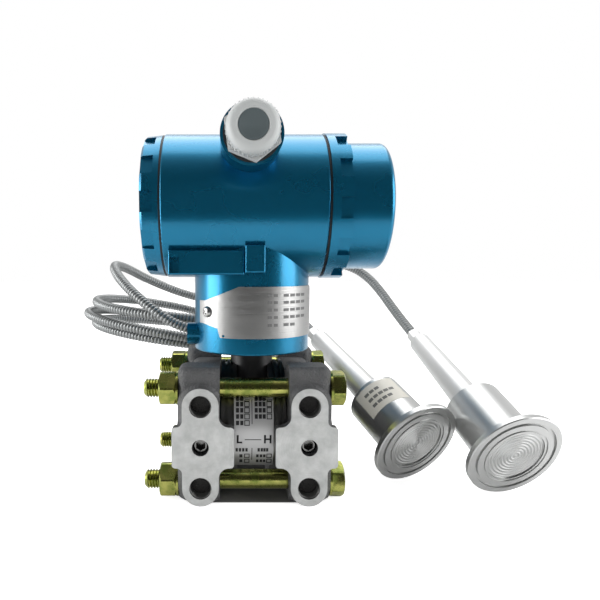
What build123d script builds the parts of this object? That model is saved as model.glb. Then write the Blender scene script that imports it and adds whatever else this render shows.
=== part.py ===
# Differential pressure transmitter with two remote diaphragm seals on armoured capillaries.
# Millimetres, +Z up. The origin is the centre of the four manifold bolt holes, on the face of
# the front process pads. X runs from the low side to the high side, Y from front to back.
import math
import os

from build123d import *

# Shared by all cuts: how far a cutting tool runs past the metal
CUT_MARGIN = 1.0

# Process flanges: the manifold bolting is the industry pattern
PORT_PITCH_X = 54.0
PORT_PITCH_Z = 41.3
MANIFOLD_HOLE_R = 5.55
BRACKET_HOLE_R = 5.0
MANIFOLD_HOLE_FLOOR = 0.8
LOBE_R = 9.1
PAD_INNER_X = 10.3
PAD_OUTER_X = 41.2
PAD_HALF_HEIGHT = 10.3
PAD_THICK = 4.0
PAD_FLARE_DEG = 38.0
PAD_FLARE_DEPTH = 3.2
PAD_INNER_FILLET = 5.2
PAD_OUTER_FILLET = 3.0
PAD_CORNER_R = 1.8
FLANGE_DEPTH = 83.0
FLANGE_GAP = 35.0
FLANGE_OUTER_X = 38.6
FLANGE_TOP_Z = 39.3
FLANGE_FOOT = 1.5
COLUMN_DEPTH = 19.0
WAIST_OUTER_X = 35.0
WAIST_TOP_Z = 33.8
COLUMN_EDGE_R = 5.0
COLUMN_TOP_R = 3.4
COLUMN_FOOT_R = 1.2
PROCESS_PORT_R = 4.2
PROCESS_PORT_DEPTH = 20.0
PASSAGE_R = 2.0
CHAMBER_R = 22.0
CHAMBER_DEPTH = 2.0

# Flange bolting
BOLT_R = 5.0
BOLT_HOLE_R = 5.4
BOLT_CELL_GAP = 1.7
BOLT_ANGLE_DEG = 36.87
BOLT_CHAMFER = 1.2
HEX_AF = 16.0
HEX_TIP_R = 9.0
HEX_CROWN = 0.8
BOLT_HEAD_THICK = 6.4
NUT_THICK = 8.4
BOLT_PROTRUSION = 8.0
WASHER_R = 8.6
WASHER_THICK = 1.2
HEAD_TURNS = (22.0, 8.0, 41.0, 12.0)
NUT_TURNS = (45.0, 38.0, 14.0, 26.0)

# Sensor cell, a drum clamped between the flanges
CELL_R = 32.8
CELL_CORE_R = 24.0
CELL_AXIS_Z = 3.25
CELL_CORE_HALF = 8.5
CELL_GROOVE_W = 1.4
CELL_GROOVE_DEPTH = 1.6
CELL_GROOVES_X = (10.6, 13.6)
GASKET_THICK = 0.6
GASKET_W = 3.5
DIAPHRAGM_THICK = 0.5
CELL_LABEL_HALF_W = 10.2
CELL_LABEL_THICK = 0.5
CELL_LABEL_HALF_ANGLE = 34.0

# Sensor neck, on which the electronics housing turns
SENSOR_NECK_R = 11.75
SENSOR_NECK_TOP_Z = 84.0
SENSOR_NECK_BORE_R = 7.0
SENSOR_NECK_CHAMFER = 1.0
NECK_SEAT_DEPTH = 2.0
SWIVEL_CLEARANCE = 0.05

# Electronics housing
BARREL_R = 39.0
BARREL_AXIS_Z = 122.35
BARREL_LEFT_X = -46.9
BARREL_RIGHT_X = 37.2
BARREL_BORE_R = 33.5
BARREL_EDGE_R = 0.8
NECK_R = 31.9
NECK_BOTTOM_Z = 43.5
NECK_SKIRT_BORE_R = 26.0
NECK_SKIRT_DEPTH = 12.0
NECK_CEILING = 5.0
PARTITION_LEFT_X = -18.0
PARTITION_RIGHT_X = 10.0
PARTITION_THICK = 4.5
PARTITION_STEP_Z = 103.0
FEEDTHROUGH_R = 7.0
CONDUIT_X = -2.3
CONDUIT_Z = 150.55
CONDUIT_BOSS_R = 14.8
CONDUIT_BOSS_REACH = 55.0
CONDUIT_BORE_R = 10.0
SIDE_PAD_X = (-43.6, -5.1)
SIDE_PAD_Z = (85.3, 97.7)
SIDE_PAD_FACE = 33.5
SIDE_POCKET_MARGIN = 1.0
SIDE_POCKET_W = 4.6
SIDE_POCKET_H = 8.0
SIDE_POCKET_DEPTH = 3.0
LUG_X = (-4.6, 5.5)
LUG_Z = (86.3, 100.3)
LUG_FACE = 35.0
LOCK_BOSS_R = 6.0
LOCK_BOSS_REACH = 35.6
LOCK_BOSS_Y = -8.0
LOCK_BOSS_Z = 52.3
LOCK_SCREW_R = 2.5
LOCK_SCREW_LEN = 20.0
LOCK_SCREW_SUNK = 1.0
LOCK_SCREW_AF = 2.5
LOCK_SOCKET = 3.0

# Screwed covers
COVER_SPIGOT_R = 34.92
COVER_THREAD_CLEARANCE = 0.08
COVER_SPIGOT_LEN = 11.0
COVER_BORE_R = 31.5
COVER_WALL = 4.0
COVER_EDGE = 1.2
O_RING_GAP = 1.0
O_RING_INNER_R = 36.0
O_RING_OUTER_R = 38.4
TERMINAL_COVER_R = 38.5
TERMINAL_COVER_END_R = 37.6
TERMINAL_COVER_LEN = 9.5
DISPLAY_COVER_R = 39.5
DISPLAY_RING_LEN = 10.7
DISPLAY_HOOD_R = 34.3
DISPLAY_COVER_LEN = 32.8
DISPLAY_HOOD_EDGE_R = 3.0
NOTCH_COUNT = 12
NOTCH_W = 10.5
NOTCH_LEN = 6.5
NOTCH_DEPTH = 2.8
TERMINAL_NOTCH_DEG = -1.2
DISPLAY_NOTCH_DEG = 5.9
WINDOW_APERTURE_R = 25.0
WINDOW_R = 30.4
WINDOW_THICK = 6.0
WINDOW_GASKET_THICK = 1.0
WINDOW_RING_THICK = 2.0
WINDOW_RING_INNER_R = 27.5
WINDOW_FIT = 0.3

# Cable gland in the front conduit entry and plug in the rear one
GLAND_WASHER_THICK = 1.0
GLAND_WASHER_R = 13.4
GLAND_HEX_AF = 24.0
GLAND_HEX_LEN = 5.2
GLAND_HEX_TURN = 8.0
GLAND_NECK_R = 9.6
GLAND_NECK_LEN = 5.0
GLAND_NUT_R = 12.0
GLAND_NUT_GAP = 0.7
GLAND_NUT_LEN = 9.6
GLAND_NUT_CROWN = 4.4
GLAND_NUT_FACE_R = 8.6
GLAND_NUT_LIP = 0.5
GLAND_NUT_RIBS = 36
GLAND_NUT_RIB_R = 0.45
GLAND_NUT_HOLE_R = 6.8
GLAND_ROOF = 2.0
GLAND_RIB_LEN = 5.0
GLAND_BORE_R = 7.0
GLAND_THREAD_LEN = 12.0
GLAND_SEAL_R = 8.0
GLAND_SEAL_BORE_R = 4.5
GLAND_SEAL_LIFT = 0.6
GLAND_SEAL_SUNK = 1.0
SEAL_FIT = 0.3
THREAD_CLEARANCE = 0.06
PLUG_HEAD_AF = 22.0
PLUG_HEAD_LEN = 5.0
PLUG_SOCKET_AF = 10.0

# Nameplate wrapped round the neck
PLATE_THICK = 0.6
PLATE_FIT = 0.05
PLATE_Z = (52.4, 79.1)
PLATE_EAR_Z = (59.8, 71.3)
PLATE_FROM_DEG = 209.0
PLATE_TO_DEG = 391.0
PLATE_SCREW_R = 2.6
PLATE_SCREW_DEG = 222.0
PLATE_SCREW_HEAD = 1.6
PLATE_SCREW_CROWN = 0.6
PLATE_UPPER_CUT = ((-7.8, 79.1), (-25.8, 71.3))
PLATE_LOWER_CUT = ((-17.6, 52.4), (-18.8, 57.1), (-26.8, 59.3))
PLATE_EYELET_X = -15.8
PLATE_EYELET_Z = 53.4
PLATE_EYELET_R = 1.9
PLATE_EYELET_HOLE_R = 0.7

# Inside the housing
TERMINAL_BLOCK_R = 31.0
TERMINAL_BLOCK_THICK = 12.0
TERMINAL_BLOCK_TOP_Z = 134.0
TERMINAL_PITCH = 13.0
TERMINAL_SCREW_R = 4.2
TERMINAL_SCREW_HEAD = 2.6
TERMINAL_SLOT = 6.0
TERMINAL_CELL = 11.0
SLOT_W = 1.2
PIN_R = 0.8
PIN_LEN = 4.0
PIN_PITCH = 3.5
BOARD_R = 30.0
BOARD_THICK = 1.6
BOARD_FIRST_GAP = 5.0
BOARD_PITCH = 10.0
BOARD_COUNT = 2
SPACER_R = 2.5
SPACER_CIRCLE_R = 25.0
CHIP_SIZE = (9.0, 9.0, 1.6)
CHIP_PLACES = ((-10.0, -8.0), (9.0, 3.0), (-6.0, 12.0))
DISPLAY_MODULE_R = 28.5
DISPLAY_MODULE_THICK = 14.0
DISPLAY_GLASS_SIZE = (34.0, 22.0, 1.4)

# Capillary adapters on the rear ports
ADAPTER_HEX_AF = 17.0
ADAPTER_HEX_LEN = 9.0
ADAPTER_HEX_TURN = 12.0
ADAPTER_SHOULDER = 3.0
ADAPTER_NOSE_R = 5.5
ADAPTER_TIP_R = 4.2
ADAPTER_NOSE_LEN = 17.5
ADAPTER_THREAD_LEN = 14.0

# Remote diaphragm seals
FERRULE_R = 25.25
FERRULE_RIM = 2.85
FERRULE_TAPER_DEG = 20.0
SEAL_BODY_R = 16.3
SEAL_BODY_LEN = 41.0
SEAL_BODY_EDGE = 1.0
FERRULE_EDGE = 0.4
SEAL_GROOVE = (20.4, 22.0, 1.2)
SEAL_FACE_RING = (16.4, 17.4, 0.5)
SEAL_RECESS_R = 15.6
SEAL_RECESS_DEPTH = 1.2
SEAL_DIAPHRAGM_R = 15.4
CORRUGATIONS = 8
CORRUGATION_HEIGHT = 0.45
CORRUGATION_BASE = -0.7
STEM_ROOT_R = 8.5
STEM_TIP_R = 6.7
STEM_LEN = 68.0
STEM_EDGE_R = 2.5
COLLAR_AF = 8.0
COLLAR_LEN = 8.0
SEAL_LEN = SEAL_BODY_LEN + STEM_LEN + COLLAR_LEN
SEAL_TILT_DEG = 24.6
SEALS = {"low": (89.3, 26.2, 23.5), "high": (132.7, 7.0, 9.8)}
SEAL_LABEL_FROM = 20.0
SEAL_LABEL_LEN = 18.0
SEAL_LABEL_THICK = 0.15
SEAL_LABEL_DEG = (-15.0, 79.0)

# Set screws that close the front process ports
PORT_PLUG_SUNK = 4.0
PORT_PLUG_LEN = 10.0
PORT_PLUG_AF = 4.6
PORT_PLUG_SOCKET = 5.0
PORT_PLUG_CHAMFER = 1.0

# Armoured capillaries, with route points chosen by hand
CAPILLARY_R = 3.0
ARC_SHARE = 0.45
LOW_LEAD = [(-27.0, 135.0, 0.0), (-29.5, 152.0, 6.5), (-29.0, 168.0, 17.0), (-22.5, 182.0, 27.0),
            (-10.0, 189.5, 34.5)]
LOW_TAIL = [(-34.0, 188.0, 42.0), (-8.0, 184.0, 51.0), (14.0, 173.5, 58.0)]
LOW_TAIL_STANDOFF = 26.0
HIGH_ROUTE = [
    (27.0, 137.5, 0.0), (29.0, 159.5, 5.0), (26.0, 180.5, 14.0), (9.0, 197.5, 28.0), (-17.0, 207.5, 42.0),
    (-50.0, 209.5, 52.0), (-84.0, 197.5, 59.0), (-106.0, 173.5, 63.0), (-112.0, 143.5, 64.0),
    (-103.0, 115.5, 62.0), (-80.0, 97.5, 59.0), (-50.0, 91.5, 56.0), (-20.0, 93.5, 53.0),
    (4.0, 103.5, 50.0), (20.0, 123.5, 47.0), (25.0, 147.5, 45.5), (20.0, 173.5, 46.5),
    (2.0, 194.5, 51.0), (-24.0, 204.5, 58.0), (-52.0, 200.5, 65.0), (-78.0, 184.5, 77.0),
    (-93.0, 159.5, 88.0), (-97.0, 132.5, 90.0), (-86.0, 106.5, 79.0), (-66.0, 87.5, 64.0),
    (-44.0, 84.5, 49.5), (-20.0, 86.5, 47.0), (5.0, 91.5, 47.5), (22.0, 102.5, 52.0),
    (30.0, 121.0, 61.0), (30.0, 142.0, 71.0), (34.0, 163.0, 81.0), (46.0, 180.0, 88.0),
    (66.5, 188.5, 91.5), (88.5, 184.0, 88.0), (101.5, 167.0, 76.0)]
HIGH_TAIL_STANDOFF = 22.0
COIL_CENTRE = (-53.0, 146.5, 41.0)
COIL_SEMI_X = 66.0
COIL_SEMI_Y = 47.0
COIL_SECTION_W = 13.0
COIL_SECTION_H = 14.0
COIL_EDGE_R = 4.0
COIL_TILT_DEG = 8.3

# Derived places
PORT_X = PORT_PITCH_X / 2
PORT_Z = PORT_PITCH_Z / 2
TABLE_Z = -PORT_Z - LOBE_R
AXIS_Y = PAD_THICK + FLANGE_DEPTH / 2
FLANGE_INNER_X = FLANGE_GAP / 2
PAD_FLARE_START = PAD_THICK - PAD_FLARE_DEPTH + CUT_MARGIN
REAR_FACE_Y = 2 * AXIS_Y
BOLT_CIRCLE_R = CELL_R + CELL_LABEL_THICK + BOLT_CELL_GAP + BOLT_R
BOLT_DY = BOLT_CIRCLE_R * math.cos(math.radians(BOLT_ANGLE_DEG))
BOLT_DZ = BOLT_CIRCLE_R * math.sin(math.radians(BOLT_ANGLE_DEG))
BOLT_PLACES = [(AXIS_Y + side * BOLT_DY, CELL_AXIS_Z + level * BOLT_DZ)
               for side in (-1, 1) for level in (-1, 1)]
MANIFOLD_HOLE_DEPTH = AXIS_Y - BOLT_DY - BOLT_HOLE_R - MANIFOLD_HOLE_FLOOR


def rod_x(radius, x0, x1, y=AXIS_Y, z=0.0):
    """A round bar along X."""
    return Pos((x0 + x1) / 2, y, z) * Rot(0, 90, 0) * Cylinder(radius, abs(x1 - x0))


def rod_y(radius, y0, y1, x=0.0, z=0.0):
    """A round bar along Y."""
    return Pos(x, (y0 + y1) / 2, z) * Rot(90, 0, 0) * Cylinder(radius, abs(y1 - y0))


def rod_z(radius, z0, z1, x=0.0, y=AXIS_Y):
    """A round bar along Z."""
    return Pos(x, y, (z0 + z1) / 2) * Cylinder(radius, abs(z1 - z0))


def block(x, y, z):
    """A box between pairs of coordinates."""
    size = [abs(pair[1] - pair[0]) for pair in (x, y, z)]
    middle = [(pair[0] + pair[1]) / 2 for pair in (x, y, z)]
    return Pos(*middle) * Box(*size)


def turned(points):
    """A lathe-turned solid about Z from (radius, height) points."""
    outline = make_face(Polyline(*[(r, 0, z) for r, z in points], close=True))
    return revolve(outline, axis=Axis.Z)


def hex_bar(across_flats, length, turn=0.0):
    """A hexagonal bar up from z = 0."""
    return extrude(Rot(0, 0, turn) * RegularPolygon(across_flats / math.sqrt(3), 6), length)


def facing(origin, direction):
    """The place of a local frame whose +Z points along direction."""
    return Plane(origin=origin, z_dir=direction).location


def group(solids):
    """Separate solids kept together in one node."""
    return Compound(children=list(solids))


# Process flanges, mirror images of each other

def pad_outline(side):
    """The waisted outline of a process pad in the XZ plane."""
    wide = Pos(side * (PAD_INNER_X + PAD_OUTER_X) / 2, 0) * Rectangle(
        PAD_OUTER_X - PAD_INNER_X, 2 * PAD_HALF_HEIGHT)
    tall = Pos(side * PORT_X, 0) * Rectangle(2 * LOBE_R, PORT_PITCH_Z)
    lobes = [Pos(side * PORT_X, level * PORT_Z) * Circle(LOBE_R) for level in (-1, 1)]
    shape = wide + tall
    for corner in shape.vertices().sort_by(lambda v: abs(abs(v.Y) - PAD_HALF_HEIGHT))[:8]:
        inner = abs(corner.X) < PORT_X
        waist = abs(abs(abs(corner.X) - PORT_X) - LOBE_R) < 0.01
        radius = PAD_CORNER_R
        if waist:
            radius = PAD_INNER_FILLET if inner else PAD_OUTER_FILLET
        nearest = shape.vertices().sort_by_distance(corner)[0]
        shape = fillet(nearest, radius)
    return shape + lobes


def flange_column(side, y0, y1):
    """One upright of a flange, rounded on its outer and upper edges as the casting is."""
    column = block((side * FLANGE_INNER_X, side * FLANGE_OUTER_X), (y0, y1),
                   (TABLE_Z + FLANGE_FOOT, FLANGE_TOP_Z))
    upright = column.edges().filter_by(Axis.Z).sort_by(lambda e: abs(e.center().X))
    column = fillet(upright[-2:], COLUMN_EDGE_R)
    inner_x = side * FLANGE_INNER_X
    for face, radius in ((-1, COLUMN_TOP_R), (0, COLUMN_FOOT_R)):
        rim = column.faces().sort_by(Axis.Z)[face].edges()
        column = fillet([e for e in rim if abs(e.center().X - inner_x) > 0.01], radius)
    return column


def pad_flare(side):
    """The cast blend behind a pad, where it widens into the column."""
    start = Plane.XZ.offset(-PAD_FLARE_START)
    flare = extrude(start * pad_outline(side), -PAD_FLARE_DEPTH, taper=-PAD_FLARE_DEG)
    reach = (side * FLANGE_INNER_X, side * FLANGE_OUTER_X)
    return flare & block(reach, (0, PAD_FLARE_START + PAD_FLARE_DEPTH), (TABLE_Z + FLANGE_FOOT, FLANGE_TOP_Z))


def process_flange(side):
    """One cast flange: two columns joined by a waist, with a drilled pad at each end."""
    front, rear = PAD_THICK, REAR_FACE_Y - PAD_THICK
    waist = block((side * FLANGE_INNER_X, side * WAIST_OUTER_X),
                  (front + COLUMN_DEPTH / 2, rear - COLUMN_DEPTH / 2), (TABLE_Z + FLANGE_FOOT, WAIST_TOP_Z))
    ridges = waist.edges().filter_by(Axis.Y).sort_by(lambda e: abs(e.center().X))
    waist = fillet(ridges[-2:], COLUMN_EDGE_R)
    body = waist + flange_column(side, front, front + COLUMN_DEPTH)
    body = body + flange_column(side, rear - COLUMN_DEPTH, rear)
    pad = extrude(Plane.XZ * pad_outline(side), -PAD_THICK - CUT_MARGIN) + pad_flare(side)
    pads = [pad, Pos(0, REAR_FACE_Y, 0) * mirror(pad, about=Plane.XZ)]
    body = body + pads
    cuts = [rod_x(CHAMBER_R, side * FLANGE_INNER_X, side * (FLANGE_INNER_X + CHAMBER_DEPTH), z=CELL_AXIS_Z)]
    for y, z in BOLT_PLACES:
        cuts.append(rod_x(BOLT_HOLE_R, 0, side * 2 * FLANGE_OUTER_X, y, z))
    for face, inward, hole_r in ((0.0, 1, MANIFOLD_HOLE_R), (REAR_FACE_Y, -1, BRACKET_HOLE_R)):
        for level in (-1, 1):
            cuts.append(rod_y(hole_r, face, face + inward * MANIFOLD_HOLE_DEPTH,
                              side * PORT_X, level * PORT_Z))
        cuts.append(rod_y(PROCESS_PORT_R, face, face + inward * PROCESS_PORT_DEPTH, side * PORT_X))
    cuts.append(rod_y(PASSAGE_R, PROCESS_PORT_DEPTH, REAR_FACE_Y - PROCESS_PORT_DEPTH, side * PORT_X))
    cuts.append(rod_x(PASSAGE_R, side * FLANGE_INNER_X, side * PORT_X, z=0.0))
    return body - cuts


def port_plugs():
    """Socket set screws sunk in the two front process ports."""
    plugs = []
    for side in (-1, 1):
        plug = rod_y(PROCESS_PORT_R - THREAD_CLEARANCE, PORT_PLUG_SUNK, PORT_PLUG_SUNK + PORT_PLUG_LEN,
                     side * PORT_X)
        plug = chamfer(plug.faces().sort_by(Axis.Y)[0].edges(), PORT_PLUG_CHAMFER)
        socket = facing((side * PORT_X, PORT_PLUG_SUNK + PORT_PLUG_SOCKET, 0), (0, -1, 0)) * hex_bar(
            PORT_PLUG_AF, PORT_PLUG_SOCKET)
        plugs.append(plug - socket)
    return group(plugs)


def bolt_sets():
    """Four through bolts, their nuts and washers."""
    bolts, nuts, washers = [], [], []
    seat = FLANGE_OUTER_X + WASHER_THICK
    for (y, z), head_turn, nut_turn in zip(BOLT_PLACES, HEAD_TURNS, NUT_TURNS):
        end_x = -seat - NUT_THICK - BOLT_PROTRUSION
        shank = rod_x(BOLT_R, end_x, seat, y, z)
        shank = chamfer(shank.faces().sort_by(Axis.X)[0].edges(), BOLT_CHAMFER)
        head = hex_bar(HEX_AF, BOLT_HEAD_THICK, head_turn) & turned(
            [(0, 0), (HEX_TIP_R, 0), (HEX_TIP_R, BOLT_HEAD_THICK - HEX_CROWN),
             (HEX_AF / 2, BOLT_HEAD_THICK), (0, BOLT_HEAD_THICK)])
        bolts.append(shank + facing((seat, y, z), (1, 0, 0)) * head)
        nut = hex_bar(HEX_AF, NUT_THICK, nut_turn) & turned(
            [(0, 0), (HEX_AF / 2, 0), (HEX_TIP_R, HEX_CROWN), (HEX_TIP_R, NUT_THICK - HEX_CROWN),
             (HEX_AF / 2, NUT_THICK), (0, NUT_THICK)])
        nut = nut - Cylinder(BOLT_R + THREAD_CLEARANCE, 4 * NUT_THICK)
        nuts.append(facing((-seat, y, z), (-1, 0, 0)) * nut)
        for side in (-1, 1):
            washers.append(rod_x(WASHER_R, side * FLANGE_OUTER_X, side * seat, y, z)
                           - rod_x(BOLT_HOLE_R, 0, side * 2 * seat, y, z))
    return group(bolts), group(nuts), group(washers)


# Sensor cell and neck

def sensor_cell():
    """Two grooved rims on a smaller core, bored for the neck that stands on top."""
    half = FLANGE_INNER_X - GASKET_THICK
    cell = rod_x(CELL_CORE_R, -CELL_CORE_HALF, CELL_CORE_HALF, z=CELL_AXIS_Z)
    for side in (-1, 1):
        rim = rod_x(CELL_R, side * CELL_CORE_HALF, side * half, z=CELL_AXIS_Z)
        for x in CELL_GROOVES_X:
            groove = rod_x(CELL_R + CUT_MARGIN, side * x, side * (x + CELL_GROOVE_W), z=CELL_AXIS_Z)
            floor = rod_x(CELL_R - CELL_GROOVE_DEPTH, side * (x - CUT_MARGIN),
                          side * (x + CELL_GROOVE_W + CUT_MARGIN), z=CELL_AXIS_Z)
            rim = rim - (groove - floor)
        cell = cell + rim
    return cell - rod_z(SENSOR_NECK_R, CELL_AXIS_Z + CELL_CORE_R - NECK_SEAT_DEPTH, CELL_AXIS_Z + 2 * CELL_R)


def sensor_neck():
    """The hollow threaded neck that stands on the cell core."""
    bottom = CELL_AXIS_Z + CELL_CORE_R - NECK_SEAT_DEPTH
    neck = rod_z(SENSOR_NECK_R, bottom, SENSOR_NECK_TOP_Z)
    neck = chamfer(neck.faces().sort_by(Axis.Z)[-1].edges(), SENSOR_NECK_CHAMFER)
    return neck - rod_z(SENSOR_NECK_BORE_R, bottom + NECK_SEAT_DEPTH, SENSOR_NECK_TOP_Z + CUT_MARGIN)


def cell_trims():
    """Gaskets and isolating diaphragms on both faces, and the label band in front."""
    half = FLANGE_INNER_X - GASKET_THICK
    gaskets, diaphragms = [], []
    for side in (-1, 1):
        ring = rod_x(CHAMBER_R + GASKET_W, side * half, side * FLANGE_INNER_X, z=CELL_AXIS_Z)
        gaskets.append(ring - rod_x(CHAMBER_R, 0, side * 2 * FLANGE_INNER_X, z=CELL_AXIS_Z))
        diaphragms.append(rod_x(CHAMBER_R - GASKET_W, side * half, side * (half + DIAPHRAGM_THICK),
                                z=CELL_AXIS_Z))
    band = rod_x(CELL_R + CELL_LABEL_THICK, -CELL_LABEL_HALF_W, CELL_LABEL_HALF_W, z=CELL_AXIS_Z)
    band = band - rod_x(CELL_R, -2 * CELL_LABEL_HALF_W, 2 * CELL_LABEL_HALF_W, z=CELL_AXIS_Z)
    reach = CELL_R * math.sin(math.radians(CELL_LABEL_HALF_ANGLE))
    window = block((-CELL_R, CELL_R), (AXIS_Y - 2 * CELL_R, AXIS_Y),
                   (CELL_AXIS_Z - reach, CELL_AXIS_Z + reach))
    return group(gaskets), group(diaphragms), band & window


# Electronics housing

def conduit_boss(side):
    """A horizontal boss for a conduit entry, at the front (-1) or the rear (1)."""
    return rod_y(CONDUIT_BOSS_R, AXIS_Y, AXIS_Y + side * CONDUIT_BOSS_REACH, CONDUIT_X, CONDUIT_Z)


def housing_casting():
    """The barrel, its neck and bosses, with a stepped wall between the two compartments."""
    barrel = rod_x(BARREL_R, BARREL_LEFT_X, BARREL_RIGHT_X, z=BARREL_AXIS_Z)
    barrel = fillet(barrel.edges().filter_by(GeomType.CIRCLE), BARREL_EDGE_R)
    neck = rod_z(NECK_R, NECK_BOTTOM_Z, BARREL_AXIS_Z)
    neck = fillet(neck.faces().sort_by(Axis.Z)[0].edges(), BARREL_EDGE_R)
    body = barrel + neck + conduit_boss(-1) + conduit_boss(1)
    pad = block(SIDE_PAD_X, (AXIS_Y - SIDE_PAD_FACE, AXIS_Y), SIDE_PAD_Z)
    pad = fillet(pad.faces().sort_by(Axis.Y)[0].edges(), BARREL_EDGE_R)
    lug = block(LUG_X, (AXIS_Y - LUG_FACE, AXIS_Y), LUG_Z)
    lug = fillet(lug.faces().sort_by(Axis.Y)[0].edges(), BARREL_EDGE_R)
    lock_boss = rod_x(LOCK_BOSS_R, -LOCK_BOSS_REACH, -NECK_R / 2, AXIS_Y + LOCK_BOSS_Y, LOCK_BOSS_Z)
    body = body + pad + lug + lock_boss
    pocket_x = SIDE_PAD_X[0] + SIDE_POCKET_MARGIN
    pocket_z = SIDE_PAD_Z[0] + SIDE_POCKET_MARGIN
    pad_y = AXIS_Y - SIDE_PAD_FACE
    pocket = block((pocket_x, pocket_x + SIDE_POCKET_W), (pad_y - CUT_MARGIN, pad_y + SIDE_POCKET_DEPTH),
                   (pocket_z, pocket_z + SIDE_POCKET_H))
    left = rod_x(BARREL_BORE_R, BARREL_LEFT_X - CUT_MARGIN, PARTITION_LEFT_X, z=BARREL_AXIS_Z)
    upper = rod_x(BARREL_BORE_R, PARTITION_LEFT_X - CUT_MARGIN, PARTITION_RIGHT_X, z=BARREL_AXIS_Z)
    upper = upper & block((-BARREL_R, BARREL_R), (0, REAR_FACE_Y),
                          (PARTITION_STEP_Z, BARREL_AXIS_Z + BARREL_R))
    right = rod_x(BARREL_BORE_R, PARTITION_RIGHT_X + PARTITION_THICK, BARREL_RIGHT_X + CUT_MARGIN,
                  z=BARREL_AXIS_Z)
    lower = rod_x(BARREL_BORE_R, PARTITION_LEFT_X + PARTITION_THICK, BARREL_RIGHT_X, z=BARREL_AXIS_Z)
    lower = lower & block((-BARREL_R, BARREL_R), (0, REAR_FACE_Y),
                          (0, PARTITION_STEP_Z - PARTITION_THICK))
    cuts = [pocket, left, upper, right, lower]
    thread_r = COVER_SPIGOT_R + COVER_THREAD_CLEARANCE
    thread_len = COVER_SPIGOT_LEN + CUT_MARGIN
    cuts.append(rod_x(thread_r, BARREL_LEFT_X - CUT_MARGIN, BARREL_LEFT_X + thread_len, z=BARREL_AXIS_Z))
    cuts.append(rod_x(thread_r, BARREL_RIGHT_X - thread_len, BARREL_RIGHT_X + CUT_MARGIN, z=BARREL_AXIS_Z))
    cuts.append(rod_y(CONDUIT_BORE_R, AXIS_Y - 2 * CONDUIT_BOSS_REACH, AXIS_Y + 2 * CONDUIT_BOSS_REACH,
                      CONDUIT_X, CONDUIT_Z))
    cuts.append(rod_z(NECK_SKIRT_BORE_R, NECK_BOTTOM_Z - CUT_MARGIN, NECK_BOTTOM_Z + NECK_SKIRT_DEPTH))
    cuts.append(rod_z(SENSOR_NECK_R + SWIVEL_CLEARANCE, NECK_BOTTOM_Z,
                      BARREL_AXIS_Z - BARREL_BORE_R + NECK_CEILING))
    cuts.append(rod_x(FEEDTHROUGH_R, 0, 2 * BARREL_RIGHT_X / 3, z=BARREL_AXIS_Z))
    cuts.append(rod_x(LOCK_SCREW_R, -2 * NECK_R, -SENSOR_NECK_R, AXIS_Y + LOCK_BOSS_Y, LOCK_BOSS_Z))
    return body - cuts


def neck_lock_screw():
    """The set screw that grips the sensor neck once the housing faces the right way."""
    head_x = -LOCK_BOSS_REACH + LOCK_SCREW_SUNK
    y = AXIS_Y + LOCK_BOSS_Y
    screw = rod_x(LOCK_SCREW_R - THREAD_CLEARANCE, head_x, head_x + LOCK_SCREW_LEN, y, LOCK_BOSS_Z)
    seat = facing((head_x + LOCK_SOCKET, y, LOCK_BOSS_Z), (-1, 0, 0))
    return screw - seat * hex_bar(LOCK_SCREW_AF, LOCK_SOCKET)


def notched(cover, radius, end, length, first_at):
    """Grip notches cut round a cover's rim, open towards its end."""
    for k in range(NOTCH_COUNT):
        notch = Pos(radius, 0, end - length / 2) * Box(2 * NOTCH_DEPTH, NOTCH_W, length)
        cover = cover - Rot(0, 0, first_at + 360.0 / NOTCH_COUNT * k) * notch
    return cover


def cover_seat(side):
    """The frame of a cover: at the housing's mouth, with +Z outwards."""
    x = BARREL_RIGHT_X if side > 0 else BARREL_LEFT_X
    return Plane(origin=(x, AXIS_Y, BARREL_AXIS_Z), x_dir=(0, -1, 0), z_dir=(side, 0, 0)).location


def cover_o_ring(side):
    """The ring squeezed between a cover's shoulder and the housing."""
    ring = turned([(O_RING_INNER_R, 0), (O_RING_OUTER_R, 0), (O_RING_OUTER_R, O_RING_GAP),
                   (O_RING_INNER_R, O_RING_GAP)])
    return cover_seat(side) * ring


def terminal_cover():
    """The shallow screwed cover over the terminals."""
    end = O_RING_GAP + TERMINAL_COVER_LEN
    cover = turned([(0, end), (TERMINAL_COVER_END_R - COVER_EDGE, end),
                    (TERMINAL_COVER_END_R, end - COVER_EDGE), (TERMINAL_COVER_R, O_RING_GAP),
                    (COVER_SPIGOT_R, O_RING_GAP), (COVER_SPIGOT_R, -COVER_SPIGOT_LEN),
                    (COVER_BORE_R, -COVER_SPIGOT_LEN), (COVER_BORE_R, end - COVER_WALL),
                    (0, end - COVER_WALL)])
    cover = notched(cover, TERMINAL_COVER_R, end, NOTCH_LEN, TERMINAL_NOTCH_DEG)
    return cover_seat(-1) * cover


def display_cover():
    """The deep screwed cover, with a round window in its end."""
    ring_end = O_RING_GAP + DISPLAY_RING_LEN
    end = O_RING_GAP + DISPLAY_COVER_LEN
    shell = turned([(WINDOW_APERTURE_R, end), (DISPLAY_HOOD_R, end), (DISPLAY_HOOD_R, ring_end),
                    (DISPLAY_COVER_R, ring_end), (DISPLAY_COVER_R, O_RING_GAP), (COVER_SPIGOT_R, O_RING_GAP),
                    (COVER_SPIGOT_R, -COVER_SPIGOT_LEN), (WINDOW_R + WINDOW_FIT, -COVER_SPIGOT_LEN),
                    (WINDOW_R + WINDOW_FIT, end - COVER_WALL), (WINDOW_APERTURE_R, end - COVER_WALL)])
    rim = shell.faces().sort_by(Axis.Z)[-1].edges().sort_by(SortBy.RADIUS)[-1]
    shell = fillet(rim, DISPLAY_HOOD_EDGE_R)
    shell = notched(shell, DISPLAY_COVER_R, ring_end, NOTCH_LEN, DISPLAY_NOTCH_DEG)
    return cover_seat(1) * shell


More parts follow.
